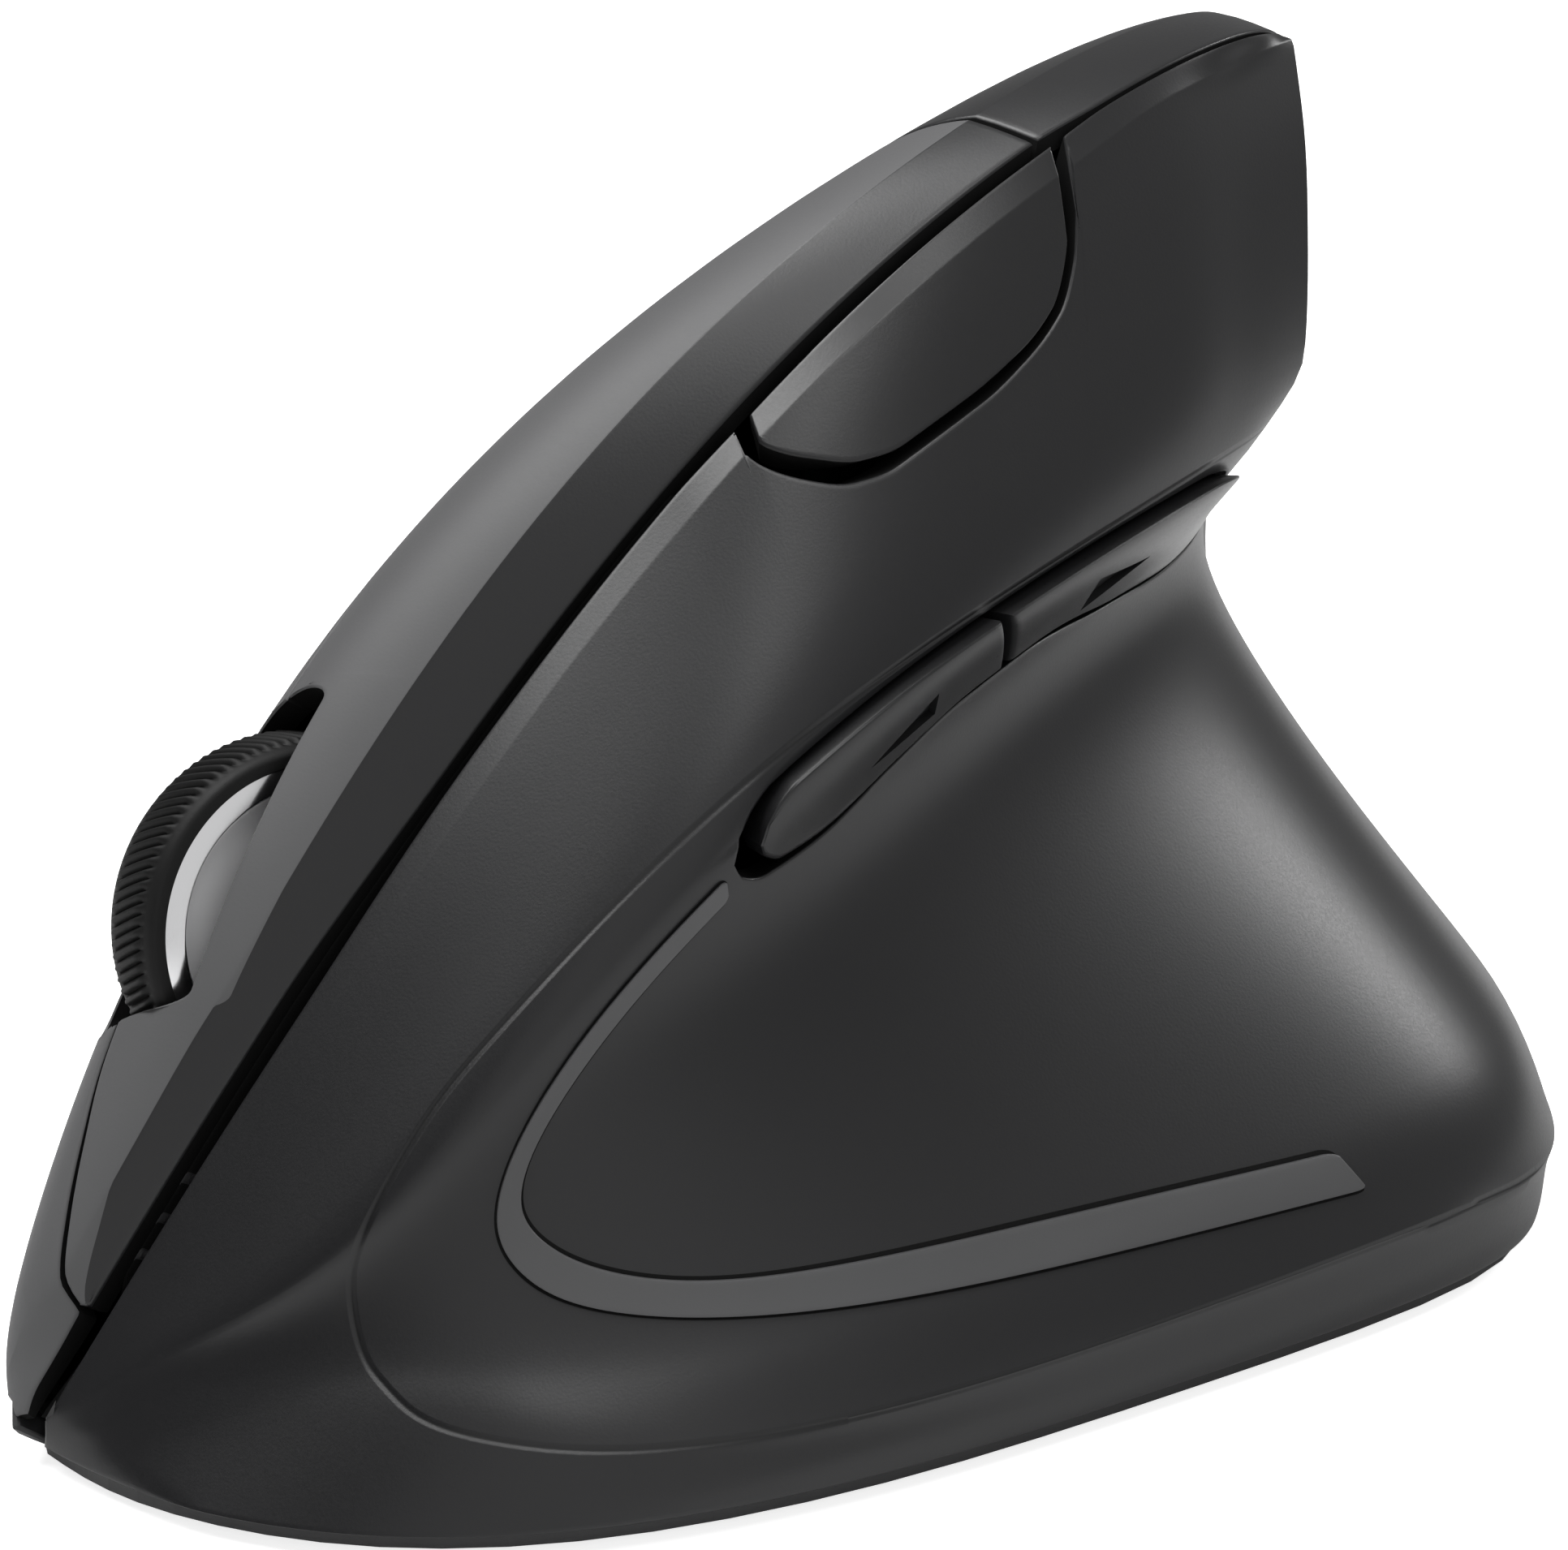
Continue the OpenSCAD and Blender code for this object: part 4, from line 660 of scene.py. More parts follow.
class ThumbShell(bpy.types.Operator):
    """Thumb side of the body, with the scoop, the lip, the key slot and the notch"""

    bl_idname = "mouse.thumb_shell"
    bl_label = "Thumb shell"

    def execute(self, context):
        sizes, colours = settings(context)
        notch = joined(spread(3.74, 3.8, 3), spread(3.805, 3.9, 16), spread(3.92, 4.3, 14),
                       spread(4.33, 4.82, 14), spread(4.835, 5.02, 26), spread(5.03, 5.15, 4))
        stations = joined([0.14], spread(0.16, 3.5, 72), [3.54, SLOT_SPAN[0]], spread(3.58, 3.72, 9), notch,
                          spread(5.2, REAR_EDGE - 0.012, 23), [REAR_EDGE],
                          spread(REAR_EDGE + 0.012, 6.48, 14), [SLOT_SPAN[1]], spread(6.53, 6.65, 4),
                          spread(6.72, TAIL_END - 0.02, 58), [TAIL_END])
        panel, slot, scoop, wall = 20, 4, 38, 7

        def column(u):
            top, foot, sill = along(SLOT_TOP, u), along(SLOT_FOOT, u), along(SILL_LINE, u)
            lip = along(LIP_LINE, u)
            edge = max(spine_edge(THUMB, u, sizes), notch_edge(u))
            fine = min(CREST_ROUND / THUMB.step(u, top), 0.2 * (top - sill))
            rows = band_rows(THUMB, u, edge, sill)
            rows += spread(rows[-1], sill - fine, panel, 1.35)[1:] + [sill]
            rows += down_to(THUMB, u, sill + fine, top, 2)
            cut = len(rows) - 1
            rows += spread(top, foot, slot)[1:]
            near = min(SUPPORT / THUMB.step(u, foot), 0.1 * (lip - foot))
            fine = min(CREST_ROUND / THUMB.step(u, lip), 0.05)
            rows += spread(foot + near, lip - fine, scoop) + [lip]
            rows += down_to(THUMB, u, lip + fine, THUMB.base, wall)
            return [(u, v) for v in rows], cut

        columns = [column(u) for u in stations]
        cut = columns[0][1]
        first, last = (min(range(len(stations)), key=lambda k: abs(stations[k] - end)) for end in SLOT_SPAN)
        bm = moulding([c[0] for c in columns], lambda u, v: thumb_face(u, v, sizes),
                      lambda u, v: THUMB.at(u, v, wall_at(u, sizes.shell_wall)), sizes.edge_round,
                      [(first, last, cut, cut + slot)], crease_field())
        # The thumb shell's finish paints shade along the crease round the scoop.
        finish = moulded("charcoal_thumb_shell", colours.shell, 0.36, groove_and_shade=True)
        finished("thumb_moulding", bm, [finish, inside(colours)], "housing", ["thumb_shell"], "shell")
        return {"FINISHED"}


def wall_at(u, wall):
    """Wall thickness, thinner at the nose and the heel."""
    return wall * along(((0, 0.5), (0.8, 1), (8.6, 1), (9.6, 0.6), (10, 0.5)), u)


def plate_foot(u):
    """Lower edge of the right click plate."""
    return along(PLATE_FOOT, u)


def palm_top(u, sizes):
    """Upper edge of the palm shell under the right click plate."""
    drop = 0.0009 * along(PLATE_DROP, u)
    return plate_foot(u) + (sizes.seam_gap + drop) / FINGER.step(u, plate_foot(u))


class PalmShell(bpy.types.Operator):
    """Rear and finger side of the body"""

    bl_idname = "mouse.palm_shell"
    bl_label = "Palm shell"

    def execute(self, context):
        sizes, colours = settings(context)
        front = spread(0.75, PLATE_END, 70)
        stations = joined(front, spread(PLATE_END + 0.02, 5.2, 9), spread(5.25, TAIL_END - 0.02, 90),
                          [TAIL_END])
        crown, flank = 24, 30

        def column(u):
            top = palm_top(u, sizes)
            rows = band_rows(FINGER, u, spine_edge(FINGER, u, sizes), top)
            rows += spread(rows[-1], top, crown, 1.3)[1:]
            cut = len(rows) - 1
            rows += [top + SUPPORT / FINGER.step(u, top)]
            rows += down_to(FINGER, u, rows[-1], FINGER.base, flank)
            return [(u, v) for v in rows], cut

        columns = [column(u) for u in stations]
        bm = moulding([c[0] for c in columns], lambda u, v: finger_face(u, v, sizes),
                      lambda u, v: FINGER.at(u, v, wall_at(u, sizes.shell_wall)), sizes.edge_round,
                      [(-1, len(front) - 1, -1, columns[0][1])])
        finish = moulded("charcoal_shell", colours.shell, 0.36)
        finished("palm_moulding", bm, [finish, inside(colours)], "housing", ["palm_shell"], "shell")
        return {"FINISHED"}


def in_wheel(p):
    """Point in the wheel frame."""
    return Vector([(p - WHEEL_PLACE).dot(axis) for axis in WHEEL_AXES])


def slot_edge(u, side, wall):
    """Row at which a plate ends beside the wheel."""
    low, high = 0.0, 3.0
    limit = SLOT_SIDE[1] if side > 0 else -SLOT_SIDE[0]
    for _ in range(14):
        middle = (low + high) / 2
        if in_wheel(FINGER.at(u, middle, wall)).x > limit:
            high = middle
        else:
            low = middle
    return (low + high) / 2


def slot_reach(sizes):
    """Half length of the wheel slot, in stations."""
    clear = 0.0012
    half = math.sqrt(WHEEL_RADIUS ** 2 - (WHEEL_RADIUS - WHEEL_RISE - sizes.plate_wall) ** 2) + clear
    return half / (FINGER.point(2.9, 1.5) - FINGER.point(1.9, 1.5)).length


def seam_side(u, side, sizes):
    """Edge of a click plate: along the seam, and round the wheel slot."""
    seam = along(SEAM_PATH, u)
    plain = seam + side * sizes.seam_gap / 2 / FINGER.step(u, seam)
    reach, corner = slot_reach(sizes), 0.4 if side > 0 else 0.14
    share = min((1 - abs(u - WHEEL_STATION) / reach) / corner, 1)
    if share <= 0:
        return plain
    return plain + (slot_edge(u, side, sizes.plate_wall) - plain) * math.sqrt(1 - (1 - share) ** 2)


def plate_stations(start, sizes):
    """Stations of a click plate, close together at the ends of the wheel slot."""
    reach, middle = slot_reach(sizes), WHEEL_STATION
    fine = 0.4 * reach
    return joined(start, spread(start[-1] + 0.03, middle - reach - 0.02, 26),
                  spread(middle - reach, middle - reach + fine, 20, 1.8),
                  spread(middle - reach + fine, middle + reach - fine, 24),
                  spread(middle + reach, middle + reach - fine, 20, 1.8)[::-1],
                  spread(middle + reach + 0.02, PLATE_END - 0.04, 50), [PLATE_END - 0.02])


def paint_band_shade(bm):
    """Gives the flat band along the spine the third finish, the shell's black as painted shade."""
    row = bm.verts.layers.int["row"]
    for f in bm.faces:
        if f.material_index == 0 and all(v[row] <= CREST_ROW for v in f.verts):
            f.material_index = 2


class ClickPlates(bpy.types.Operator):
    """Left and right click plates, with the wheel slot between them"""

    bl_idname = "mouse.click_plates"
    bl_label = "Click plates"

    def execute(self, context):
        sizes, colours = settings(context)
        finish = moulded("graphite_plate", colours.plates, 0.58)
        # Painted shade: the left plate's band along the spine takes the shell's black instead of the plate's
        # grey.
        flank = moulded("painted_shade_band", colours.shell, 0.36)

        def left_column(u):
            edge, foot = spine_edge(FINGER, u, sizes), seam_side(u, -1, sizes)
            rows = band_rows(FINGER, u, edge, foot)
            return [(u, v) for v in rows + down_to(FINGER, u, rows[-1], foot, 14, 1.2)]

        def right_column(u):
            edge = seam_side(u, 1, sizes) if u > 0.75 else 1.4 * spine_edge(FINGER, u, sizes)
            foot = plate_foot(u)
            rows = band_rows(FINGER, u, edge, foot, 0.003)
            return [(u, v) for v in rows + down_to(FINGER, u, rows[-1], foot, 20)]

        left = plate_stations([0.8, 0.82], sizes)
        nose = joined(spread(0.12, 0.4, 16), spread(0.42, 0.7, 12), spread(0.725, 0.8, 4))
        right = plate_stations(nose, sizes)
        for name, stations, column, body, node in (
                ("left_plate_moulding", left, left_column, "left_plate", "left_button"),
                ("right_plate_moulding", right, right_column, "right_plate", "right_button")):
            bm = moulding([column(u) for u in stations], lambda u, v: finger_face(u, v, sizes),
                          lambda u, v: FINGER.at(u, v, wall_at(u, sizes.plate_wall)), sizes.edge_round)
            # Only the left plate's band takes the painted shade.
            if column is left_column:
                paint_band_shade(bm)
            finished(name, bm, [finish, inside(colours), flank], body, [node], "plates")
        return {"FINISHED"}


class SensitivityKey(bpy.types.Operator):
    """Key at the spine, with a flat band and a half-round outline"""

    bl_idname = "mouse.sensitivity_key"
    bl_label = "Sensitivity key"

    def execute(self, context):
        sizes, colours = settings(context)
        stations = joined(spread(SENSE_SPAN[0], 4.0, 16), spread(4.02, 4.8, 34),
                          spread(4.81, SENSE_SPAN[1], 22))

        def column(u):
            edge, foot = spine_edge(THUMB, u, sizes), along(SENSE_EDGE, u)
            rows = band_rows(THUMB, u, edge, edge + 2.2 * (THUMB.crest(u) - edge), 0.0005)
            limit = edge + 0.6 * (foot - edge)
            if rows[-1] > limit:
                rows = [edge + (v - edge) * (limit - edge) / (rows[-1] - edge) for v in rows]
            return [(u, v) for v in rows + down_to(THUMB, u, rows[-1], foot, 18, 1.2)]

        bm = moulding([column(u) for u in stations], lambda u, v: thumb_face(u, v, sizes),
                      lambda u, v: THUMB.at(u, v, sizes.key_wall), sizes.edge_round)
        finish = moulded("graphite_key", colours.keys, 0.36)
        finished("sensitivity_key_moulding", bm, [finish, inside(colours)], "dpi_key", ["dpi_button"], "keys")
        return {"FINISHED"}


def arrow_pocket(bm, corners, into, depth):
    """Sinks a three-cornered arrow into the face on which its corners lie."""
    middle = (corners[0] + corners[1] + corners[2]) / 3
    reach = 2.2 * max((c - middle).length for c in corners)
    sides = []
    for a, b in zip(corners, corners[1:] + corners[:1]):
        out = (b - a).cross(into).normalized()
        sides.append((a, out if out.dot(middle - a) < 0 else -out))

    def near(f):
        return f.normal.dot(into) < -0.4 and (f.calc_center_median() - middle).length < reach

    for place, out in sides:
        faces = [f for f in bm.faces if near(f)]
        edges = {e for f in faces for e in f.edges}
        verts = {v for f in faces for v in f.verts}
        bmesh.ops.bisect_plane(bm, geom=faces + list(edges) + list(verts), dist=1e-7, plane_co=place,
                               plane_no=out)
        bm.normal_update()
    floor = [f for f in bm.faces if near(f)
             and all(out.dot(f.calc_center_median() - place) < 0 for place, out in sides)]
    edges = {e for f in floor for e in f.edges}
    made = bmesh.ops.extrude_face_region(bm, geom=floor + list(edges))
    sunk = [g for g in made["geom"] if isinstance(g, bmesh.types.BMVert)]
    bmesh.ops.translate(bm, verts=sunk, vec=into * depth)


class ThumbKeys(bpy.types.Operator):
    """Forward and back keys in the slot under the crease, each with an arrow"""

    bl_idname = "mouse.thumb_keys"
    bl_label = "Thumb keys"

    def execute(self, context):
        sizes, colours = settings(context)
        finish = moulded("satin_key", colours.keys, 0.3, bump=0.06)
        gap = 0.00035
        tip_gap = 0.09
        key_rows = 16

        def column(u):
            clear = gap / THUMB.step(u, 3.5)
            slot_u = u - tip_gap * (1 - ease((u - SLOT_SPAN[0]) / 0.6))
            top, foot = along(SLOT_TOP, slot_u) + clear, along(SLOT_FOOT, slot_u) - clear
            near = min(1.5 * SUPPORT / THUMB.step(u, top), 0.2 * (foot - top))
            lean = along(((4, 0), (KEY_SPLIT, 0.22), (5.4, 0)), u)
            return [(u + lean * (v - 3.5), v) for v in [top] + down_to(THUMB, u, top + near, foot, key_rows)]

        def face(u, v):
            top, foot = along(SLOT_TOP, u), along(SLOT_FOOT, u)
            share = min(max((v - top) / (foot - top), 0), 1)
            rise = sizes.key_rise * (1 - 0.6 * ease((u - 5.7) / 0.6))
            return thumb_face(u, v, sizes, rise * (1 - 0.85 * share))

        split = 0.02
        forward = joined(spread(SLOT_SPAN[0] + tip_gap, 3.86, 20), spread(3.88, KEY_SPLIT - split, 34))
        back = spread(KEY_SPLIT + split, KEY_END, 56)
        for name, stations, body, node, arrow in (
                ("forward_key_moulding", forward, "forward_key", "forward_button", FORWARD_ARROW),
                ("back_key_moulding", back, "back_key", "back_button", BACK_ARROW)):
            bm = moulding([column(u) for u in stations], face,
                          lambda u, v: THUMB.at(u, v, sizes.shell_wall), 2 * sizes.edge_round)
            corners = [face(u, v) for u, v in arrow]
            into = (corners[1] - corners[0]).cross(corners[2] - corners[0]).normalized()
            if into.x < 0:
                into.negate()
            arrow_pocket(bm, corners, into, sizes.arrow_depth)
            finished(name, bm, [finish], body, [node], "keys", sharp=32)
        return {"FINISHED"}


class GapWeb(bpy.types.Operator):
    """Web in the dull black of painted shade, with rib ends, under the open joint along the spine, and a
    small stop behind the nose
    """

    bl_idname = "mouse.gap_web"
    bl_label = "Gap web"

    def execute(self, context):
        sizes, colours = settings(context)
        ribs = (1.08, 1.24, 1.4)
        rib_half, rib_rise = 0.022, 0.0013
        web_wall, web_round, lip_depth = 0.0006, 0.00008, 0.0012
        web_depth = ((0.1, 0.0009), (0.6, 0.0018), (1.2, 0.0028))
        stop_top, stop_round = 0.0025, 0.0001
        stations = joined(spread(0.13, 1, 30), spread(1.01, 1.5, 70), spread(1.53, 3.6, 50))

        def place(u, s, wall):
            skin = FINGER if s > 0 else THUMB
            rise = rib_rise * sum(1 - ease(abs(u - rib) / rib_half - 0.5) for rib in ribs)
            depth = along(web_depth, u)
            lip = ease((s - 0.3) / 0.5) * ease((u - 0.8) / 0.2)
            depth += (lip_depth - depth) * lip - rise * ease((0.7 - s) / 0.3)
            return skin.at(u, abs(s) * spine_edge(skin, u, sizes), depth + wall)

        across, beside, foot = Vector((0.61, 0.79, 0)), Vector((0.79, -0.61, 0)), Vector((0.0192, 0.0532, 0))

        def stop(a, b, z):
            return foot + across * a + beside * b + Vector((0, 0, z))

        block = [[(a, b) for b in spread(-0.0006, 0.0006, 4)] for a in spread(-0.0018, 0.0003, 6)]
        bm = moulding(block, lambda a, b: stop(a, b, stop_top), lambda a, b: stop(a, b, BASE_MM * MM),
                      stop_round)
        finished("nose_stop", bm, [inside(colours)], "housing", [], "frame")
        bm = moulding([[(u, s) for s in spread(-1.5, 0.85, 18)] for u in stations],
                      lambda u, s: place(u, s, 0), lambda u, s: place(u, s, web_wall), web_round)
        station = bm.verts.layers.int["station"]
        # Rib ends take the base black; the rest of the web is painted shade.
        for f in bm.faces:
            u = stations[f.verts[0][station]]
            f.material_index = 1 if any(abs(u - rib) < rib_half for rib in ribs) else 0
        finished("gap_web", bm, [inside(colours), moulded("black_base", colours.base, 0.45)], "housing", [],
                 "frame")
        return {"FINISHED"}


class AccentStrip(bpy.types.Operator):
    """Satin V-shaped inlay in the scoop, in a thin dark bed"""

    bl_idname = "mouse.accent_strip"
    bl_label = "Accent strip"

    def execute(self, context):
        sizes, colours = settings(context)
        outer = [Vector((u, v, 0)) for u, v in STRIP_OUTER]
        inner = [Vector((u, v, 0)) for u, v in STRIP_INNER]
        last = len(outer) - 1

        def line(t, margin):
            a, b = spline(outer, t), spline(inner, t)
            tip, tail = min(t / 0.06, 1), min((last - t) / 0.05, 1)
            half = (0.5 + margin) * math.sqrt(1 - (1 - tip) ** 2)
            half *= 0.8 + 0.2 * math.sqrt(1 - (1 - tail) ** 2)
            return [tuple(a.lerp(b, s)[:2]) for s in spread(0.5 - half, 0.5 + half, 8)]

        low = -0.0003
        for name, margin, high, finish, nodes, slot in (
                ("strip_bed", 0.1, 0.00008, inside(colours), [], "frame"),
                ("strip_inlay", 0.0, 0.0003,
                 moulded("satin_strip", colours.strip, 0.4, grain=7000, bump=0.1, metallic=0.2),
                 ["accent_strip"], "strip")):
            start = 0.004 if margin else 0.012
            rounding = 0.00002 if margin else 0.00005
            runs = joined(spread(start, 0.07, 10, 1.6), spread(0.1, last - 0.08, 110),
                          spread(last - 0.06, last, 6))
            bm = moulding([line(t, margin) for t in runs], lambda u, v: thumb_face(u, v, sizes, high),
                          lambda u, v: thumb_face(u, v, sizes, low), rounding)
            finished(name, bm, [finish], "housing", nodes, slot)
        return {"FINISHED"}


def spun(profile, steps=144):
    """Ring spun round the wheel axle from a closed profile of axle position and radius."""
    bm = bmesh.new()
    verts = [bm.verts.new((x, 0, r)) for x, r in profile]
    edges = [bm.edges.new((a, b)) for a, b in zip(verts, verts[1:] + verts[:1])]
    bmesh.ops.spin(bm, geom=verts + edges, cent=(0, 0, 0), axis=(1, 0, 0), dvec=(0, 0, 0),
                   angle=2 * math.pi, steps=steps, use_merge=True)
    bmesh.ops.remove_doubles(bm, verts=bm.verts[:], dist=1e-7)
    bmesh.ops.recalc_face_normals(bm, faces=bm.faces[:])
    return bm


def mirrored(bm):
    """Adds the twin on the other side of the wheel and moves both to the wheel's place."""
    twin = bmesh.ops.duplicate(bm, geom=bm.verts[:] + bm.edges[:] + bm.faces[:])["geom"]
    bmesh.ops.scale(bm, vec=(-1, 1, 1), verts=[g for g in twin if isinstance(g, bmesh.types.BMVert)])
    bmesh.ops.recalc_face_normals(bm, faces=bm.faces[:])
    bmesh.ops.transform(bm, matrix=WHEEL_MATRIX, verts=bm.verts[:])


def disc_finish(colours):
    """Finish of the wheel's hub and its caps."""
    return moulded("grey_disc", colours.hub, 0.4, grain=5000)


class ScrollWheel(bpy.types.Operator):
    """Ribbed tyre, silver rings and disc caps of the scroll wheel"""

    bl_idname = "mouse.scroll_wheel"
    bl_label = "Scroll wheel"

    def execute(self, context):
        sizes, colours = settings(context)
        rubber = moulded("ribbed_rubber", colours.tyre, 0.55, grain=4000, bump=0.2, specular=0.2)
        silver = moulded("silver_ring", colours.ring, 0.16, grain=3000, bump=0.02, spread=0.05, tone=1.03,
                         metallic=1.0)
        inner = WHEEL_RADIUS - 0.0015
        tread = 0.00205
        shoulder = [(TYRE_HALF, inner), (TYRE_HALF, 0.01035), (0.00275, 0.01053), (0.0026, 0.01068),
                    (0.0024, 0.01079), (0.0022, 0.01086)]
        crown = [(tread * s, 0.0109 + 0.00015 * (1 - s * s)) for s in spread(-1, 1, 16)]
        profile = [(-x, r, 0) for x, r in shoulder]
        profile += [(x, r, ease((tread - abs(x)) / 0.0005)) for x, r in crown]
        profile += [(x, r, 0) for x, r in reversed(shoulder)] + [(-TYRE_HALF, inner, 0)]
        pitch = 2 * math.pi / sizes.rib_count
        cells, slant = 8, -1.1
        bm = bmesh.new()
        bmesh.ops.create_grid(bm, x_segments=cells, y_segments=len(profile) - 1, size=0.5)
        for vert in bm.verts:
            share = vert.co.x + 0.5
            x, r, weight = profile[round((vert.co.y + 0.5) * (len(profile) - 1))]
            ridge = math.sin(math.pi * share) ** 0.8 if 0 < share < 1 else 0.0
            angle = pitch * (share + slant * x / tread)
            r += sizes.rib_depth * weight * (ridge - 0.35)
            vert.co = (x, -r * math.sin(angle), r * math.cos(angle))
        bmesh.ops.spin(bm, geom=bm.verts[:] + bm.edges[:] + bm.faces[:], cent=(0, 0, 0), axis=(1, 0, 0),
                       dvec=(0, 0, 0), angle=2 * math.pi - pitch, steps=sizes.rib_count - 1,
                       use_duplicate=True)
        bmesh.ops.remove_doubles(bm, verts=bm.verts[:], dist=1e-6)
        bmesh.ops.recalc_face_normals(bm, faces=bm.faces[:])
        bmesh.ops.transform(bm, matrix=WHEEL_MATRIX, verts=bm.verts[:])
        finished("ribbed_tyre", bm, [rubber], "scroll_wheel", ["wheel_tyre"], "tyre", sharp=70)
        ring = [(0.002, 0.00979), (0.00236, 0.00979), (0.00246, 0.00975), (0.00252, 0.00962),
                (0.00278, 0.0086), (0.00278, 0.00852), (0.0027, 0.00842), (0.0014, 0.00803),
                (0.0013, 0.00799), (0.0013, 0.0085)]
        bm = spun(ring)
        mirrored(bm)
        finished("silver_rings", bm, [silver], "scroll_wheel", ["wheel_rings"], "ring", sharp=25)
        bm = spun([(0.00121, 0.0042), (0.00134, 0.0042), (0.00138, 0.0043), (0.00138, 0.0079),
                   (0.00134, 0.00798), (0.00121, 0.00798)])
        mirrored(bm)
        finished("disc_caps", bm, [disc_finish(colours)], "scroll_wheel", [], "hub", sharp=25)
        return {"FINISHED"}


class FrameFinishes(bpy.types.Operator):
    """Finishes of the frame nodes that stay as they are"""

    bl_idname = "mouse.frame_finishes"
    bl_label = "Inner finishes"

    def execute(self, context):
        colours = context.scene.mouse_colours
        base = moulded("black_base", colours.base, 0.45)
        inner = moulded("black_frame", colours.frame, 0.6, specular=0.15)
        steel = moulded("bright_steel", (0.55, 0.55, 0.56, 1), 0.28, grain=2500, metallic=1.0)
        brass = moulded("plated_contact", (0.7, 0.55, 0.28, 1), 0.3, grain=2500, metallic=1.0)
        board = moulded("dark_board", (0.008, 0.014, 0.011, 1), 0.4, grain=1200, spread=0.2)
        chip = moulded("black_chip", (0.012, 0.012, 0.013, 1), 0.5)
        white = moulded("white_plunger", (0.7, 0.7, 0.68, 1), 0.4)
        lens = moulded("clear_lens", (0.9, 0.95, 0.96, 1), 0.08, bump=0.01, spread=0.02, transmission=0.9)
        red = moulded("red_led", (0.4, 0.02, 0.015, 1), 0.15, bump=0.02)
        wrap = moulded("cell_wrap", (0.3, 0.2, 0.06, 1), 0.3, metallic=0.5)
        glide = moulded("slick_glide", (0.55, 0.55, 0.54, 1), 0.35)
        switches = ["left_switch", "right_switch", "middle_switch", "dpi_switch", "forward_switch",
                    "back_switch"]
        plungers = [name.replace("switch", "plunger") for name in switches]
        groups = (
            (base, ["base_plate", "battery_door", "battery_tray", "power_knob"]),
            (inner, ["spine_frame", "wheel_cradle", "wheel_bracket", "switch_deck", "side_bracket"]),
            (disc_finish(colours), ["wheel_hub"]),
            (steel, ["wheel_axle", "radio_shield", "base_screws", "deck_screws", "pcb_screws",
                     "usb_receiver"]),
            (brass, ["battery_springs", "battery_contacts"]),
            (board, ["click_pcb", "side_pcb", "main_pcb"]),
            (chip, switches + ["encoder_detector", "encoder_emitter", "optical_sensor", "power_switch"]),
            (white, plungers),
            (lens, ["sensor_lens"]),
            (red, ["sensor_led"]),
            (wrap, ["battery_left", "battery_right"]),
            (glide, ["front_foot", "rear_foot", "left_foot", "right_foot"]),
        )
        for finish, names in groups:
            for name in names:
                node = frame["nodes"][name]
                node.data.materials.clear()
                node.data.materials.append(finish)
        return {"FINISHED"}


def white_for_view(tree, strength):
    """Strength of a white background for view and glass rays, 0 for other rays."""
    path = add(tree, "LightPath", {}).outputs
    seen = add(tree, "Math", {0: path["Is Camera Ray"], 1: path["Is Transmission Ray"]}, operation="MAXIMUM")
    return add(tree, "Math", {0: seen.outputs["Value"], 1: strength}, operation="MULTIPLY").outputs["Value"]


def studio_floor(scene):
    """Pale floor, clear from below."""
    half_width = 3
    bm = bmesh.new()
    bmesh.ops.create_grid(bm, x_segments=8, y_segments=8, size=half_width)
    mesh = bpy.data.meshes.new("studio_floor")
    bm.to_mesh(mesh)
    bm.free()
    floor = bpy.data.objects.new("studio_floor", mesh)
    scene.collection.objects.link(floor)
    pale = bpy.data.materials.new("pale_floor")
    pale.use_nodes = True
    tree = pale.node_tree
    shader = tree.nodes["Principled BSDF"]
    feed(tree, shader, {"Base Color": (0.8, 0.8, 0.8, 1), "Roughness": 0.9, "Specular IOR Level": 0.1,
                        "Emission Color": (1, 1, 1, 1), "Emission Strength": white_for_view(tree, 0.8)})
    below = add(tree, "NewGeometry", {}).outputs["Backfacing"]
    clear = add(tree, "BsdfTransparent", {}).outputs["BSDF"]
    mixed = add(tree, "MixShader", {"Fac": below, 1: shader.outputs["BSDF"], 2: clear})
    feed(tree, tree.nodes["Material Output"], {"Surface": mixed.outputs["Shader"]})
    mesh.materials.append(pale)


def studio_world(scene):
    """White for view rays, and a soft tent of light on one side for all others."""
    tent_side, tent_edge, tent_light = (-0.6, -0.78, 0.2), (-0.6, 0.15), (0.02, 0.27)
    world = bpy.data.worlds.new("studio")
    scene.world = world
    world.use_nodes = True
    tree = world.node_tree
    direction = add(tree, "TexCoord", {}).outputs["Generated"]
    facing = add(tree, "VectorMath", {0: direction, 1: tent_side}, operation="DOT_PRODUCT").outputs["Value"]
    tent = add(tree, "MapRange", {"Value": facing, "From Min": tent_edge[0], "From Max": tent_edge[1],
                                  "To Min": tent_light[0], "To Max": tent_light[1]},
               interpolation_type="SMOOTHSTEP").outputs["Result"]
    strength = add(tree, "Math", {0: white_for_view(tree, 1), 1: tent}, operation="MAXIMUM").outputs["Value"]
    feed(tree, tree.nodes["Background"], {"Color": (1, 1, 1, 1), "Strength": strength})


def softbox(scene, name, place, aim, size, power):
    """Square soft lamp aimed at a point."""
    data = bpy.data.lights.new(name, "AREA")
    data.shape = "SQUARE"
    data.size = size
    data.energy = power
    lamp = bpy.data.objects.new(name, data)
    lamp.location = place
    lamp.rotation_euler = (aim - place).to_track_quat("-Z", "Y").to_euler()
    scene.collection.objects.link(lamp)


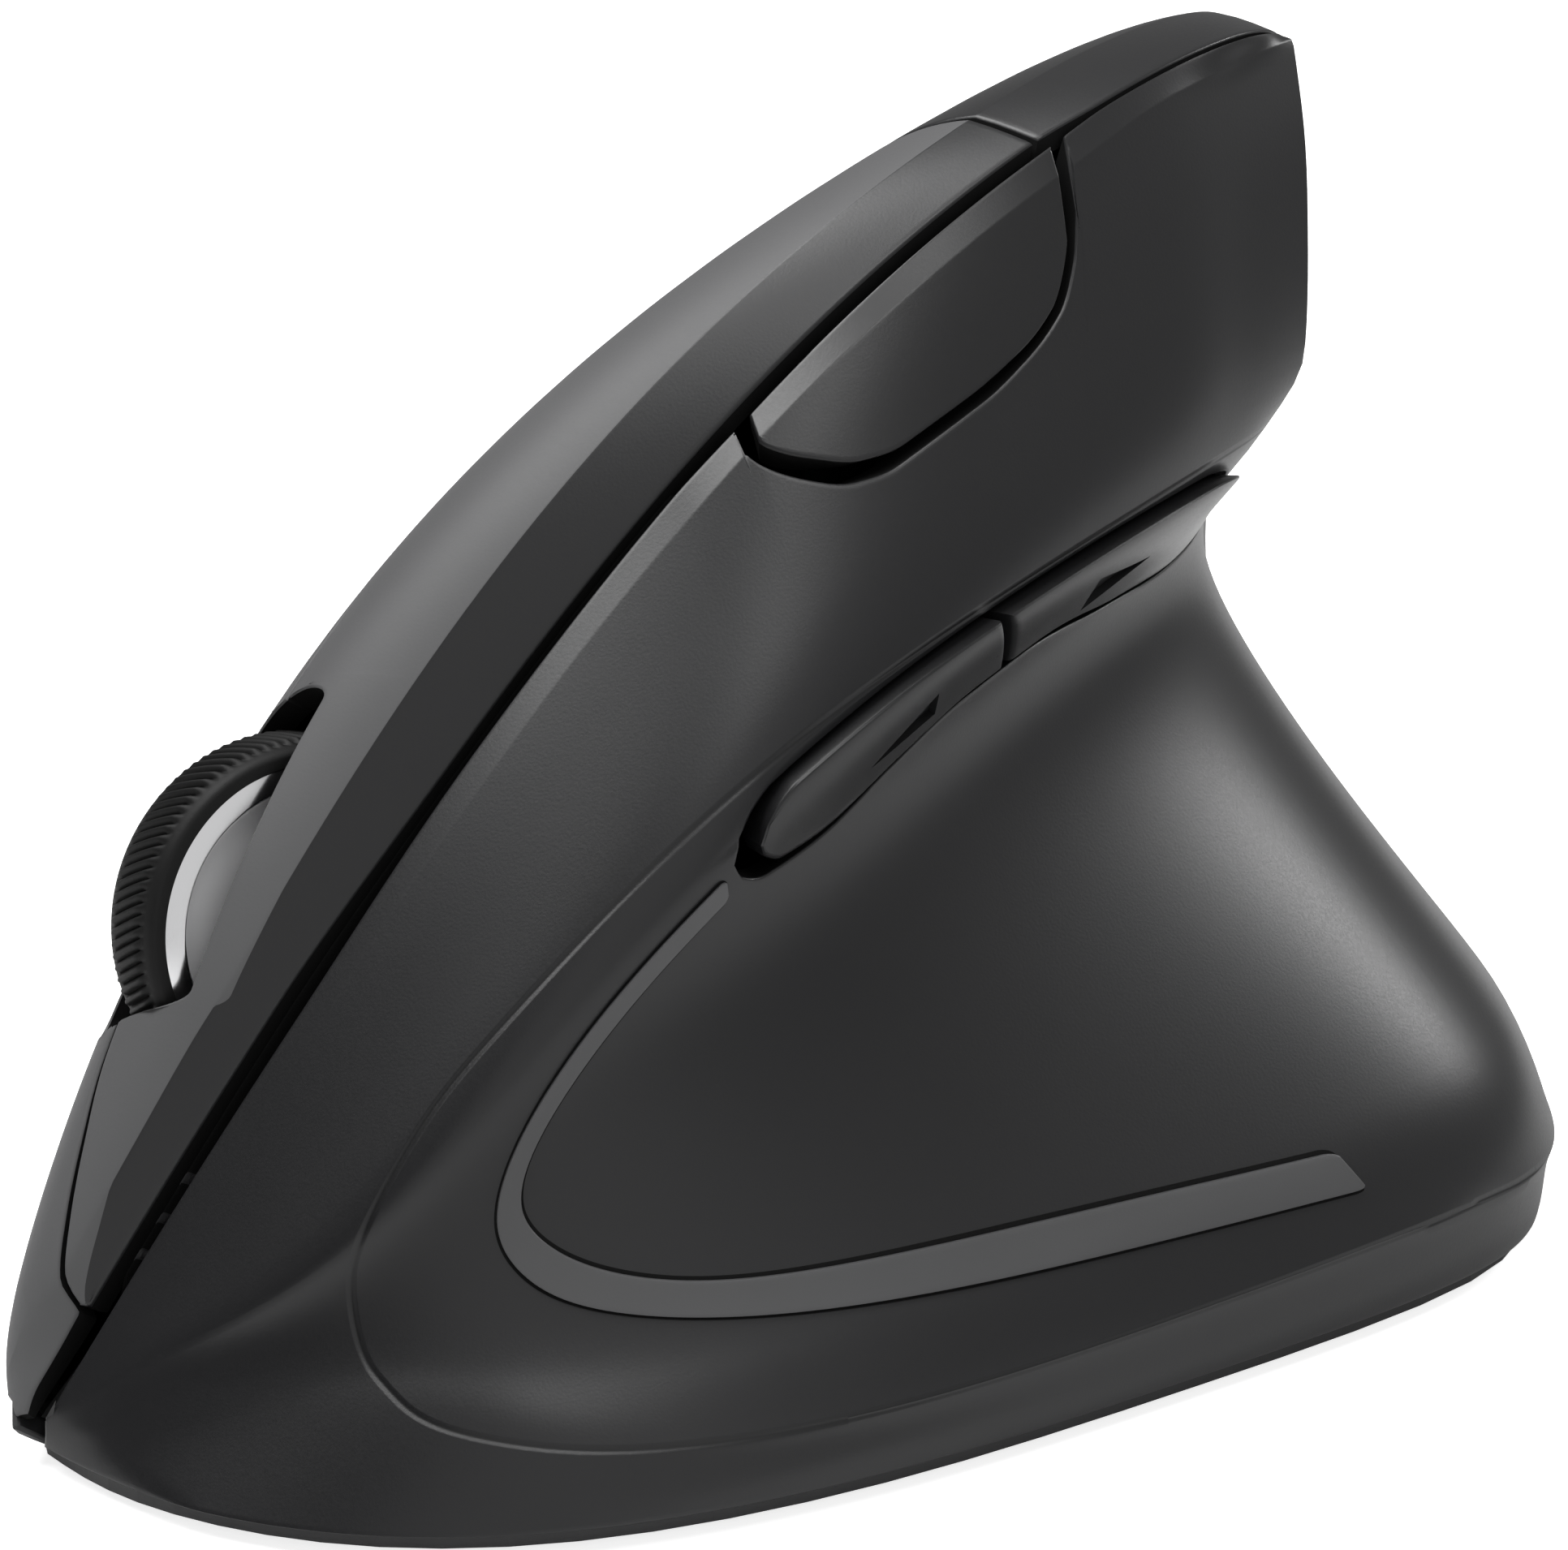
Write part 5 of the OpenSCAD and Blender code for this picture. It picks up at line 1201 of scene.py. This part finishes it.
def photo_camera(scene, middle):
    """Camera of the photograph, with its focal length and axis in picture points."""
    turn, rise, distance = math.radians(48), math.radians(19.5), 0.42
    picture, axis_at, focal = (1932, 1910), (1080.7, 947.7), 8400
    away = Vector((math.cos(turn), -math.sin(turn), 0))
    forward = away * math.cos(rise) - Vector((0, 0, 1)) * math.sin(rise)
    data = bpy.data.cameras.new("photo_camera")
    camera = bpy.data.objects.new("photo_camera", data)
    camera.location = middle - forward * distance
    camera.rotation_euler = forward.to_track_quat("-Z", "Y").to_euler()
    data.sensor_width = 36
    data.lens = focal / picture[0] * data.sensor_width
    data.shift_x = (picture[0] / 2 - axis_at[0]) / picture[0]
    data.shift_y = (axis_at[1] - picture[1] / 2) / picture[0]
    data.clip_start, data.clip_end = 0.01, 20
    scene.collection.objects.link(camera)
    scene.camera = camera


class Stage(bpy.types.Operator):
    """Pale floor, soft studio lamps and the camera"""

    bl_idname = "mouse.stage"
    bl_label = "Stage"

    def execute(self, context):
        scene = context.scene
        scene.view_settings.view_transform = "Standard"
        studio_floor(scene)
        studio_world(scene)
        middle, lamp_distance = Vector((-0.00015, 0.00035, 0.0328)), 0.6
        for name, toward, size, power in (
                ("top_box", (0.35, 0.2, 0.91), 0.4, 4),
                ("left_card", (-0.8, 0.55, 0.2), 0.8, 0.8),
                ("band_box", (-0.36, 0.1, 0.93), 0.2, 0.7),
                ("waist_box", (-0.33, -0.78, 0.54), 0.12, 0.9)):
            softbox(scene, name, middle + lamp_distance * Vector(toward), middle, size, power)
        photo_camera(scene, middle)
        return {"FINISHED"}


class MousePanel(bpy.types.Panel):
    """Sizes, colours and builders of the mouse"""

    bl_idname = "MOUSE_PT_pieces"
    bl_label = "Vertical mouse"
    bl_space_type = "VIEW_3D"
    bl_region_type = "UI"
    bl_category = "Mouse"

    def draw(self, context):
        for operator in OPERATORS:
            self.layout.operator(operator.bl_idname)
        for group in (context.scene.mouse_sizes, context.scene.mouse_colours):
            for name in group.__annotations__:
                self.layout.prop(group, name)


OPERATORS = (ThumbShell, PalmShell, ClickPlates, SensitivityKey, ThumbKeys, GapWeb, AccentStrip, ScrollWheel,
             FrameFinishes, Stage)
CLASSES = (MouseSizes, MouseColours, *OPERATORS, MousePanel)


def register():
    """Adds the classes and the scene's settings."""
    for cls in CLASSES:
        bpy.utils.register_class(cls)
    bpy.types.Scene.mouse_sizes = PointerProperty(type=MouseSizes)
    bpy.types.Scene.mouse_colours = PointerProperty(type=MouseColours)


def unregister():
    """Removes the scene's settings and the classes."""
    del bpy.types.Scene.mouse_colours
    del bpy.types.Scene.mouse_sizes
    for cls in reversed(CLASSES):
        bpy.utils.unregister_class(cls)


def main():
    """Builds every piece in order."""
    register()
    bpy.ops.mouse.thumb_shell()
    bpy.ops.mouse.palm_shell()
    bpy.ops.mouse.click_plates()
    bpy.ops.mouse.sensitivity_key()
    bpy.ops.mouse.thumb_keys()
    bpy.ops.mouse.gap_web()
    bpy.ops.mouse.accent_strip()
    bpy.ops.mouse.scroll_wheel()
    bpy.ops.mouse.frame_finishes()
    bpy.ops.mouse.stage()


if __name__ == "__main__":
    main()
